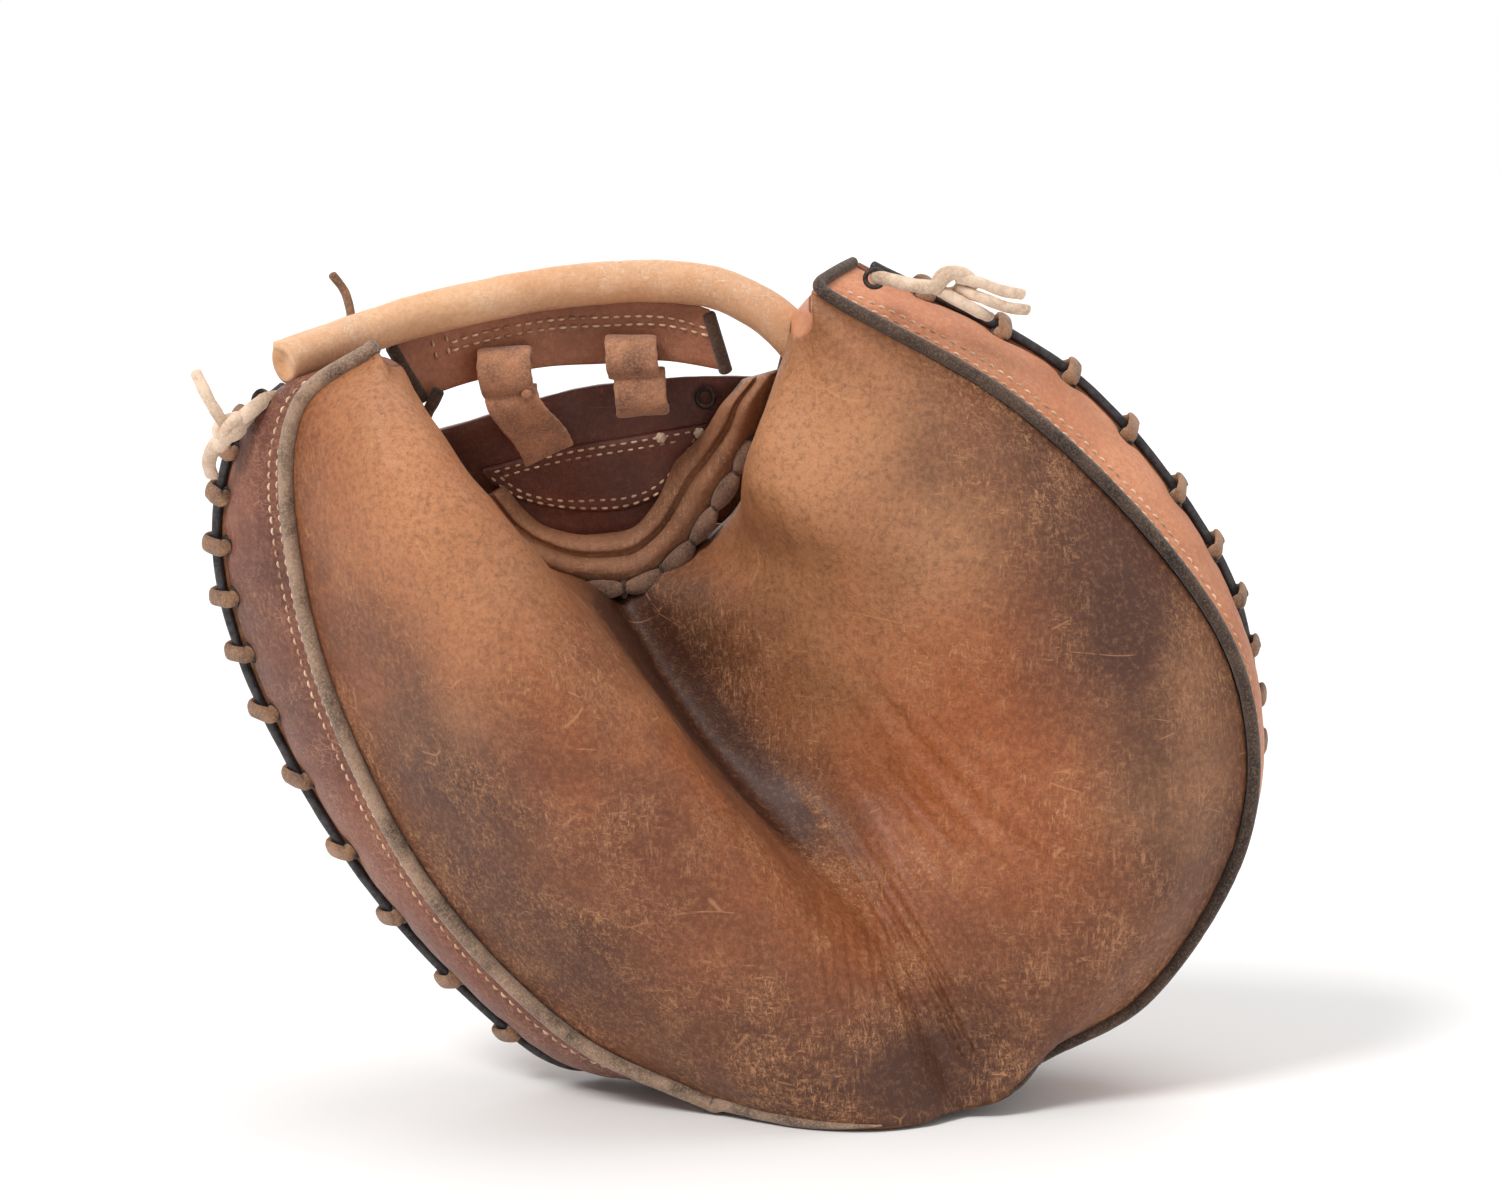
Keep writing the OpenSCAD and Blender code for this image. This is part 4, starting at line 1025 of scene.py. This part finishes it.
def back_seams():
    """Stitch rows between the finger ridges, and a row along the thumb's rim."""
    b = Build()
    for place in (0.255, 0.285, 0.475, 0.505, 0.695, 0.725):
        u = span(0.44, 0.93, 160)
        v = np.full(u.shape, place)
        path = back_at(FINGER, u, v, 0)
        path = path + back_out(FINGER, u, v) * (back_height("finger", path, u, v) + 0.15)[:, None]
        b.stitches(path, back_out(FINGER, u, v), thick=0.38)
    folds(b.object("back_finger_stitches", THREAD_DARK, "back_leather"))
    b = Build()
    for shift in (-0.35, 0.35):
        u = span(0.06, 0.93, 300)
        v = np.full(u.shape, 0.12)
        path = back_at(THUMB, u, v + 0.02 * shift, 0)
        path = path + back_out(THUMB, u, v) * (back_height("thumb", path, u, v) + 0.1)[:, None]
        b.stitches(path + [0, 0, 2.0 * shift], back_out(THUMB, u, v), thick=0.38)
    folds(b.object("back_thumb_stitches", THREAD_DARK, "back_leather"))


back_half("thumb", THUMB)
back_half("finger", FINGER)
back_seams()

# ---------------------------------------------------------------- heel and the bound edge of the hand opening


# The heel's section: how far across from the palm to the back, and how far below that line
HEEL_SECTION = ((0.0, 0.6), (0.12, 3.5), (0.35, 6.5), (0.6, 6.0), (0.86, 3.0), (1.0, 0.0))


def heel():
    """The bottom of the heel: from the palm's edge under the pads, then up to the lining or the back."""
    columns = []
    for lobe, vs in ((THUMB, span(0, 1, 70)[:-1]), (FINGER, span(1, 0, 70))):
        for v in vs:
            a, c = net(lobe[0], 0.0, v), net(lobe[1], 0.0, v)
            back = np.clip((0.62 - v) / 0.2, 0, 1)
            end = 0.72 + 0.28 * back
            line = [a + (c - a) * w * end - np.array([0, 0, drop]) for w, drop in HEEL_SECTION]
            lining_end = inside_at(lobe, np.array([0.05]), np.array([v]), np.array([0.66]))[0]
            top = line[-1] + [0, -1.5, 5]
            line += [line[-1] * back + (lining_end + [0, 1.5, -3]) * (1 - back),
                     top * back + (lining_end + [0, 0, 4]) * (1 - back)]
            points = spline(line, span(0, 1, 40))
            points[:, 2] = np.maximum(points[:, 2], 0.15)
            columns.append(points)
    g = np.array(columns)
    g = relax(g, 10)
    g[..., 2] = np.maximum(g[..., 2], 0.1)
    n = grid_normals(g)
    if n[g.shape[0] // 3, 10, 2] > 0:
        n = -n
    h = 0.3 * ripple(g, 14, 51) + 0.12 * ripple(g, 5, 52)
    top = g + n * np.minimum(h, 0)[..., None]
    top[..., 2] = np.maximum(top[..., 2], 0.1)
    b = Build()
    b.shell(top, g - n * 2.2)
    folds(b.object("heel_roll", HEEL, "heel_leather"), "heel_roll")


def back_point(x, z):
    """The point of the back's surface at x and z, or None past its edge."""
    best = None
    for g in BACK_GRIDS:
        d = np.hypot(g[..., 0] - x, g[..., 2] - z)
        k = np.unravel_index(d.argmin(), d.shape)
        if d[k] < 2.6 and (best is None or g[k][1] > best[1]):
            near = d < 4
            best = np.array([x, np.average(g[near][:, 1], weights=1 / (d[near] + 0.2)), z])
    return best


def hand_opening():
    found = [back_point(x, z) for x, z in spline(HAND_HOLE, span(0, 1, 150))]
    path = np.array([p for p in found if p is not None])
    for _ in range(6):
        path[1:-1] = (path[:-2] + path[2:] + 2 * path[1:-1]) / 4
    b = Build()
    b.tube(path + [0, -1.7, 0], 2.2, 14)
    folds(b.object("hand_opening_binding", STRAP, "strap_leather"))
    centre = path.mean(0)
    outward = unit((path - centre) * [1, 0, 1])
    b = Build()
    b.stitches(path + outward * 4.6 + [0, -0.35, 0], np.tile([0, 1.0, 0.1], (len(path), 1)),
               thick=0.4, sink=0)
    folds(b.object("hand_opening_stitches", THREAD_DARK, "strap_leather"))


def back_grid(side, lobe):
    u, v = mesh_grid(span(0.03, 1, 120), span(0, 1, 70))
    g = relax(back_at(lobe, u, v, 0), 3)
    return g + back_out(lobe, u, v) * back_height(side, g, u, v)[..., None]


BACK_GRIDS = [back_grid("thumb", THUMB), back_grid("finger", FINGER)]
heel()
hand_opening()

# ---------------------------------------------------------------- web


def web_front(top, bottom, s, t, lift):
    """Points between two edge curves, lifted toward the front, and the directions out of that surface."""
    s, t = np.broadcast_arrays(np.asarray(s, float), np.asarray(t, float))

    def edge(line, shift=0):
        return spline(line, np.clip(s.ravel() + shift, 0, 1)).reshape(s.shape + (3,))
    a, c = edge(top), edge(bottom)
    ahead, low = edge(top, 0.02) - edge(top, -0.02), edge(bottom, 0.02) - edge(bottom, -0.02)
    out = unit(np.cross(ahead * (1 - t)[..., None] + low * t[..., None], a - c))
    if out[..., 1].mean() > 0:
        out = -out
    return a + (c - a) * t[..., None] + out * lift, out


def web_sheet(name, top, bottom, t0, t1, material, slot, holes, m, n, lump):
    """A sheet of the web between two edge curves, with holes given as (s from, s to, t from, t to)."""
    s, t = mesh_grid(span(0, 1, m), span(t0, t1, n))
    g, out = web_front(top, bottom, s, t, 0)
    edge = np.minimum(np.minimum(t - t0, t1 - t) / (t1 - t0) * 8, 1)
    g = g + out * (lump * ripple(g, 17, 61) + 0.15 * ripple(g, 5, 62) - 0.5 * (1 - edge) ** 2)[..., None]
    quads = grid_quads(np.arange(m * n).reshape(m, n))
    cs, ct = s.ravel()[quads].mean(1), t.ravel()[quads].mean(1)
    for s_from, s_to, t_from, t_to in holes:
        inside_hole = (cs > s_from) & (cs < s_to) & (ct > t_from) & (ct < t_to)
        quads, cs, ct = quads[~inside_hole], cs[~inside_hole], ct[~inside_hole]
    flat = g.reshape(-1, 3)
    b = Build()
    b.patch(flat, facing(flat, quads, out.reshape(-1, 3)))
    o = b.object(name, material, slot)
    thicken(o, WEB_T)
    folds(o, name)


def bar():
    """The rolled bar: its overlapping seam, its stitch row, and the hollow of its cut left end."""
    s = span(0, 1, 170)
    path = spline(BAR_LINE, s)
    turn = 2 * np.pi * np.arange(40) / 40
    along = unit(np.gradient(path, axis=0))
    rings = []
    for k, p in enumerate(path):
        ref = np.array([0.0, 0.8, 0.6])
        a = unit(ref - along[k] * np.dot(ref, along[k]))
        c = np.cross(along[k], a)
        seam = -0.62 + 1.1 * (1 - s[k]) ** 2
        away = (turn - seam + np.pi) % (2 * np.pi) - np.pi
        r = BAR_R * (1 + 0.16 * np.exp(-(away / 0.16) ** 2) - 0.07 * np.exp(-((away - 0.42) / 0.12) ** 2))
        r = r * (1 - 0.06 * np.cos(2 * turn)) * (1 - 0.10 * max(0, s[k] - 0.9) / 0.1)
        rings.append(p + (a * np.cos(turn)[:, None] + c * np.sin(turn)[:, None]) * r[:, None])
    rings = np.array(rings)
    n = unit(rings - path[:, None])
    rings += n * (0.30 * ripple(rings, 13, 71) + 0.10 * ripple(rings, 4, 72))[..., None]
    inset = rings[0] + (path[0] - rings[0]) * 0.25 - along[0] * 0.8
    deep = rings[0] + (path[0] - rings[0]) * 0.5 + along[0] * 1.2
    b = Build()
    b.sweep(np.concatenate([[deep, inset], rings]))
    folds(b.object("web_bar", BAR, "bar_leather"), "web_bar")
    b = Build()
    k = (span(0.36, 0.97, 160) * (len(path) - 1)).astype(int)
    out = np.tile([0.0, -0.45, 0.9], (len(k), 1))
    b.stitches(path[k] + unit(out) * 6.15, out, 3.3, sink=0)
    folds(b.object("web_bar_stitches", THREAD, "bar_leather"))


def ribbon(b, path, across, across_end, width, thick, steps=60, bow=0.0, rough=0.25, seed=1):
    """Leather strap with soft, slightly ragged edges along a path."""
    line = spline(path, span(0, 1, steps))
    side = unit(np.asarray(across, float)[None] * (1 - span(0, 1, steps))[:, None]
                + np.asarray(across_end, float)[None] * span(0, 1, steps)[:, None])
    out = unit(np.cross(side, np.gradient(line, axis=0)))
    turn = span(0, 2 * np.pi, 33)[:-1]
    x = np.sign(np.cos(turn)) * np.abs(np.cos(turn)) ** 0.35
    y = np.sign(np.sin(turn)) * np.abs(np.sin(turn)) ** 0.55
    ring = (line[:, None] + side[:, None] * (x * width / 2)[None, :, None]
            + out[:, None] * ((y * thick / 2) + bow * (1 - x ** 2))[None, :, None])
    ring = ring + side[:, None] * (rough * ripple(ring, 2.2, seed) * np.abs(x)[None] ** 6)[..., None]
    ring = ring + out[:, None] * (0.25 * ripple(ring, 6, seed + 1))[..., None]
    b.sweep(ring)
    return line, side, out


# The half-moon sewn on the panel: its upper edge and its lower arc in the front view (x, z)
MOON_TOP = [(-77, 181), (-63, 185), (-50, 188), (-31, 191), (-9, 195)]
MOON_ARC = [(-77, 180), (-72, 175), (-65, 171), (-52, 168), (-38, 167.5), (-28, 170), (-20, 175), (-13, 184),
            (-8, 194)]


def on_panel(flat, lift):
    """Points on the front of the web panel over points of the front view, and the direction out of it."""
    s, t = mesh_grid(span(0, 1, 110), span(0, 1.1, 60))
    g, out = web_front(PANEL_TOP, PANEL_BOTTOM, s, t, 0)
    g = g + out * (0.8 * ripple(g, 17, 61) + 0.15 * ripple(g, 5, 62))[..., None]
    g, out = g.reshape(-1, 3), out.reshape(-1, 3)
    flat = np.asarray(flat, float)
    rows = flat.reshape(-1, 2)
    d = np.hypot(rows[:, None, 0] - g[None, :, 0], rows[:, None, 1] - g[None, :, 2])
    near = np.argsort(d, axis=1)[:, :5]
    weight = 1 / (np.take_along_axis(d, near, 1) + 0.15)
    weight = (weight / weight.sum(1, keepdims=True))[..., None]
    normal = unit((out[near] * weight).sum(1))
    y = (g[near][..., 1:2] * weight).sum(1)
    p = np.concatenate([rows[:, :1], y, rows[:, 1:]], 1) + normal * lift
    return p.reshape(flat.shape[:-1] + (3,)), normal.reshape(flat.shape[:-1] + (3,))


def half_moon():
    """The raised half-moon patch with its stitch rows and the two knots of thread."""
    s, j = mesh_grid(span(0, 1, 90), span(0, 1, 24))
    edge, arc = (spline(line, s.ravel()).reshape(90, 24, 2) for line in (MOON_TOP, MOON_ARC))
    flat = edge + (arc - edge) * j[..., None]
    rim_drop = np.clip(np.minimum(j, 1 - j) * 14, 0, 1) * np.clip(np.minimum(s, 1 - s) * 30, 0, 1)
    top, out = on_panel(flat, 0.2)
    b = Build()
    b.shell(top + out * (0.7 + 1.0 * rim_drop ** 0.5)[..., None], top)
    folds(b.object("half_moon_patch", PANEL, "panel_leather"), "half_moon_patch")
    b = Build()
    middle = np.array([-41, 181])
    s = span(0.015, 0.985, 150)
    for shrink in (1.6, 4.2):
        line = spline(MOON_ARC, s)
        path, out = on_panel(line + unit(middle - line) * shrink, 1.75)
        b.stitches(path, out, 3.2, sink=0)
    for shift, s0, s1 in ((1.4, 0.05, 0.95), (3.6, 0.10, 0.9)):
        path, out = on_panel(spline(MOON_TOP, span(s0, s1, 120)) - [0, shift], 1.75)
        b.stitches(path, out, 3.2, thick=0.36, sink=0)
    folds(b.object("half_moon_stitches", THREAD, "panel_leather"))
    b = Build()
    for x, z, r in ((-23, 191, 1.5), (-11.5, 192.5, 1.6)):
        c, out = on_panel(np.array([[x, z]]), 2.2)
        for turn in range(3):
            a = turn * 2.1
            d = np.array([math.cos(a), 0.15, math.sin(a)]) * r
            b.tube([c[0] - d * 0.8, c[0] + out[0] * 0.6, c[0] + d * 0.8], 0.75, 8)
    folds(b.object("thread_knots", RAWHIDE, "rawhide"))


def web():
    bar()
    slots = ((0.228, 0.362, 0.63, 0.71), (0.622, 0.763, 0.57, 0.65))
    web_sheet("web_band", BAND_TOP, BAND_BOTTOM, -0.25, 1, BAND, "band_leather", slots, 150, 40, 0.5)
    b = Build()
    along = span(0.14, 0.97, 200)
    down = span(-0.05, 0.42, 60)
    rows = [(along, 0 * along + at) for at in (0.17, 0.32)] + [(0 * down + at, down) for at in (0.10, 0.135)]
    for s, t in rows:
        path, out = web_front(BAND_TOP, BAND_BOTTOM, s, t, 0.45)
        b.stitches(path, out, 3.2, 2.2, 0.4, 0)
    folds(b.object("web_band_stitches", THREAD, "band_leather"))
    b = Build()
    for end in (0.985, 0.012):
        t = span(-0.1, 1, 30)
        b.tube(web_front(BAND_TOP, BAND_BOTTOM, 0 * t + end, t, -1.2)[0], 2.1, 10)
    folds(b.object("web_band_ends", CUT, "panel_leather"))
    web_sheet("web_panel", PANEL_TOP, PANEL_BOTTOM, 0, 1.12, PANEL, "panel_leather", (), 140, 60, 0.8)
    half_moon()
    b = Build()
    upper = [(-69, 49, 216.5), (-69, 45.5, 219), (-69, 41.2, 218.4), (-69, 38.8, 215), (-68.6, 38.6, 211),
             (-68, 40.2, 207.5), (-67.5, 43, 206)]
    ribbon(b, upper, (1, 0, 0.05), (1, 0, 0.1), 16, 2.3, 60, 0.3, 0.3, 3)
    tail = [(-67.5, 43.5, 208), (-67, 42.0, 205.5), (-66, 42.0, 202.5), (-63.5, 44.5, 198.5), (-60, 49, 194),
            (-57.5, 53, 189.5), (-56.5, 55.5, 186.5)]
    ribbon(b, tail, (1, 0, 0.1), (0.9, 0.0, 0.42), 16, 2.3, 60, 0.5, 0.35, 5)
    b.tube([(-62.5, 43.0, 206.5), (-62.3, 40.6, 206.2), (-62.2, 39.6, 206)], 1.7, 10)
    folds(b.object("loop_strap_left", LOOP, "loop_leather"), "loop_strap_left")
    b = Build()
    upper = [(-31.5, 51, 220), (-31.5, 47.5, 222.2), (-31.5, 43.4, 221.4), (-31.3, 41.4, 218),
             (-31, 41.6, 214),
             (-30.6, 44.2, 211.4), (-30.4, 47.5, 211)]
    ribbon(b, upper, (1, 0, 0), (1, 0, 0.03), 15.5, 2.4, 60, 0.3, 0.3, 7)
    lower = [(-29.2, 50, 212.5), (-29.0, 46.4, 212.3), (-28.8, 43.9, 209.2), (-28.5, 43.4, 205),
             (-28.2, 45.2, 201.2),
             (-28, 49, 199.6), (-28, 53, 200.6)]
    ribbon(b, lower, (1, 0, 0.03), (1, 0, 0.1), 15.5, 2.4, 60, 0.3, 0.35, 9)
    folds(b.object("loop_strap_right", LOOP, "loop_leather"), "loop_strap_right")


def crotch():
    """The bound edge below the web: a lower roll, a groove, an upper lip turned back, and its lacing."""
    s = span(0, 1, 130)
    line = spline(CROTCH_LINE, s)
    up = unit(np.stack([-36 - line[:, 0], 0 * s, 198 - line[:, 2]], 1))
    section = spline([[-5.0, 1.2, 0], [0.5, -4.5, 0], [3.5, -6.6, 0], [6.6, -5.6, 0], [8.3, -2.7, 0],
                      [9.4, -2.9, 0], [10.6, -4.6, 0], [13.0, -3.6, 0], [14.8, -0.6, 0], [15.4, 2.8, 0],
                      [13.6, 5.2, 0], [7, 4.6, 0], [1, 4.2, 0], [-5.0, 1.2, 0]], span(0, 1, 61)[:-1])
    small = 0.55 + 0.45 * np.sin(np.pi * np.clip(s, 0.12, 0.88))
    rings = (line[:, None] + up[:, None] * (section[None, :, 0] * small[:, None])[..., None]
             + np.array([0, 1.0, 0]) * (section[None, :, 1])[..., None])
    rings = rings + up[:, None] * (0.35 * ripple(rings, 8, 81))[..., None]
    b = Build()
    b.sweep(rings)
    folds(b.object("crotch_binding", LIP, "binding_leather"), "crotch_binding")
    b = Build()
    places = spline(CROTCH_STITCHES, span(0, 1, 200))
    length = np.concatenate([[0], np.cumsum(np.linalg.norm(np.diff(places, axis=0), axis=1))])
    pitch = length[-1] / (BARREL_COUNT - 0.4)
    for k in range(BARREL_COUNT):
        at = (k + 0.3) * pitch
        xs = at + span(-0.46, 0.46, 15) * pitch
        path = np.stack([np.interp(xs, length, places[:, a]) for a in range(3)], 1)
        swell = 2.9 * np.sqrt(np.clip(1 - (span(-1, 1, 15)) ** 2 * 0.72, 0.1, 1))
        path[:, 1] -= 0.8 * (1 - span(-1, 1, 15) ** 2)
        b.tube(path, swell * (1 + 0.04 * math.sin(3 * k)), 16, 0.72, (0, 1.0, -0.15))
    folds(b.object("crotch_lacing", CROTCH_LACE, "crotch_lace"), "crotch_lacing")
    b = Build()
    for k in range(BARREL_COUNT + 1):
        at = (k - 0.2) * pitch
        c = np.array([np.interp(at, length, places[:, a]) for a in range(3)])
        b.tube(c + [[0, 4, -1.5], [0, 0.4, -2.2], [0, -0.6, 0.4], [0, 0.8, 2.4], [0, 4, 2.2]], 1.1, 8)
    folds(b.object("crotch_lace_ties", CUT, "crotch_lace"))


def knots():
    """The two knots, the lace ends, and the eyelets beside them."""
    def lace_group(name, material, slot, routes, *nodes):
        b = Build()
        for k, (points, radius, flat) in enumerate(routes):
            path = spline(points, span(0, 1, 12 * len(points)))
            swell = radius * (1 + 0.10 * ripple(path, 3.5, 90 + k))
            b.tube(path, swell, 12, flat, (0.25, 0.9, 0.35))
        folds(b.object(name, material, slot), *nodes)

    def turn_of(centre, a, c, r, start, end):
        """Points round a loop whose plane holds the directions a and c."""
        centre, a, c = (np.array(x, float) for x in (centre, a, c))
        return [tuple(centre + r * (a * math.cos(x) + c * math.sin(x))) for x in span(start, end, 9)]

    lace_group("thumb_knot", RAWHIDE, "rawhide", [
        ([(-131, 12, 208.5), (-135.5, 5.5, 208), (-140.5, 3, 204.5), (-145, 4, 200.5), (-149, 7, 196.5)],
         2.3, 0.7),
        ([(-139, 16, 207), (-141, 8, 203.5), (-143.5, 2.8, 200.5), (-147, 2, 197.5), (-150, 5, 194)],
         2.2, 0.7),
        (turn_of((-146.5, 6, 199.5), (0.8, 0.2, 0.5), (-0.35, 0.9, 0.3), 4.2, 0, 5.4), 2.3, 0.75),
        ([(-147, 4, 199), (-149.5, 2.5, 203.5), (-152.5, 3, 208.5), (-156, 4.5, 215.5)], 2.0, 0.6),
        ([(-148, 4, 198), (-151.5, 6, 193.5), (-153.3, 9, 189), (-153, 13, 185)], 2.2, 0.7),
        ([(-144, 1.8, 203), (-147, 1.2, 199.5), (-148.5, 3, 195)], 1.9, 0.75)], "thumb_knot")
    lace_group("finger_knot", RAWHIDE, "rawhide", [
        ([(40.5, 8.5, 242.5), (43, 4.5, 242.8), (48, 3.2, 241.6), (54, 3.4, 240.6), (59, 5, 240.4)],
         2.2, 0.75),
        (turn_of((62, 7, 241.5), (1, 0, 0.1), (0, -0.5, 0.85), 3.8, 0.2, 5.9), 2.1, 0.75),
        ([(57, 5, 239.5), (60.5, 2.6, 243.5), (65, 3.4, 244.6), (69, 6, 241)], 2.0, 0.75),
        ([(64, 4, 243), (70, 3.4, 241.8), (76.5, 4.6, 239.4), (82.5, 6, 238.2)], 1.8, 0.7),
        ([(64, 6, 239.5), (71, 4.6, 237.2), (78, 5, 234.6), (84, 7, 233.6)], 1.8, 0.7),
        ([(60, 4.4, 238.6), (66, 4.2, 235.4), (71, 6.5, 232.6), (73, 10.5, 231.4)], 1.9, 0.75)],
        "finger_knot")
    lace_group("tip_lace_end", LACE, "edge_lace", [
        ([(-113.5, 37, 226), (-114.4, 38, 232), (-116, 38.4, 237), (-119.2, 37.4, 241.6)], 1.5, 0.6)],
        "tip_lace_end")
    lace_group("web_lace_end", CUT, "rim_cord", [
        ([(-94, 45, 197), (-92, 42.5, 200.5), (-90, 40.5, 204), (-88.6, 39.5, 207)], 1.9, 0.6)],
        "web_lace_end")
    b = Build()
    for at, out in (((40.0, 6.6, 242.8), (-0.1, -0.9, 0.4)), ((-137.5, 6.0, 207.5), (-0.5, -0.85, 0.2)),
                    ((-9.5, 61.0, 203.0), (-0.35, -0.93, 0.1))):
        b.ring(np.array(at), out, 3.5, 0.75)
    folds(b.object("knot_eyelets", EYELET, "eyelet_metal"))


web()
crotch()
knots()

# ---------------------------------------------------------------- wrist strap, snap and little finger loop

SEWN_LIFT = LEATHER_T / 2 + 1.6
SNAP_LIFT = SEWN_LIFT + LEATHER_T + 2.8


def on_back(lobe, u, v, lift):
    return back_at(lobe, np.array([u]), np.array([v]), -lift)[0]


STRAP_LINE = [on_back(FINGER, 0.18, 0.34, SEWN_LIFT), on_back(FINGER, 0.15, 0.5, SEWN_LIFT + 1),
              on_back(FINGER, 0.12, 0.7, SNAP_LIFT - 2), on_back(FINGER, 0.09, 0.9, SNAP_LIFT),
              on_back(THUMB, 0.09, 0.84, SNAP_LIFT + 0.4)]
TAB_LINE = [on_back(THUMB, 0.19, 0.36, SEWN_LIFT + 2), on_back(THUMB, 0.13, 0.66, SEWN_LIFT),
            on_back(THUMB, 0.1, 0.8, SEWN_LIFT), on_back(THUMB, 0.08, 0.92, SEWN_LIFT)]
SEWN_UP = (0.36, 0.32, 0.88)
STRAP_UP = (0, 0.35, 0.93)


def strap():
    """The wrist strap with its fleece, its tab, the little finger's loop, and the brass of the snap."""
    b = Build()
    line, side, out = ribbon(b, STRAP_LINE, SEWN_UP, STRAP_UP, 30, LEATHER_T, 90, 0, 0.1, 11)
    rides(b.object("wrist_strap", STRAP, "strap_leather"), "strap", "wrist_strap")
    out = out * np.sign(out[:, 1:2])
    b = Build()
    for edge in (-12.4, 12.4):
        b.stitches((line + side * edge + out * (LEATHER_T / 2 + 0.1))[3:-3], out[3:-3], thick=0.4, sink=0)
    rides(b.object("wrist_strap_stitches", THREAD, "strap_leather"), "strap")
    b = Build()
    s = span(0.54, 0.8, 50)
    t = span(-1, 1, 24)
    base = spline(STRAP_LINE, s)
    up = unit(np.array(SEWN_UP) * (1 - s)[:, None] + np.array(STRAP_UP) * s[:, None])
    g = base[:, None] + up[:, None] * (t * 12.5)[None, :, None] + np.array([0, -LEATHER_T / 2 - 0.5, 0])
    soft = (1 - t ** 8)[None] * (1 - np.linspace(-1, 1, 50) ** 10)[:, None]
    thick = 1.0 + 4.2 * soft + 0.5 * ripple(g, 2.6, 14) + 0.35 * ripple(g, 1.2, 15)
    b.shell(g, g - np.array([0, 1.0, 0]) * np.maximum(thick, 0.5)[..., None])
    o = rides(b.object("wrist_fleece", FLEECE, "fleece"), "strap", "wrist_fleece")
    b = Build()
    line, side, out = ribbon(b, TAB_LINE, (-0.3, 0.4, 0.85), STRAP_UP, 24, LEATHER_T, 60, 0, 0.1, 12)
    folds(b.object("strap_tab", STRAP, "strap_leather"), "strap_tab")
    out = out * np.sign(out[:, 1:2])
    b = Build()
    for edge in (-9.6, 9.6):
        b.stitches((line + side * edge + out * (LEATHER_T / 2 + 0.1))[2:30], out[2:30], thick=0.4, sink=0)
    folds(b.object("strap_tab_stitches", THREAD, "strap_leather"))
    b = Build()
    loop = [on_back(FINGER, 0.36, v, 3.6 + 2.2 * math.sin(math.pi * (v - 0.22) / 0.2))
            for v in span(0.22, 0.42, 5)]
    ribbon(b, loop, (0.2, 0.1, 1), (0.1, 0.1, 1), 14, 2.2, 50, 0, 0.15, 13)
    folds(b.object("little_finger_loop", STRAP, "strap_leather"), "little_finger_loop")
    for name in ("snap_cap", "snap_stud"):
        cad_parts[name].data.materials.clear()
        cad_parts[name].data.materials.append(BRASS)
        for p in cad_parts[name].data.polygons:
            p.use_smooth = False


strap()
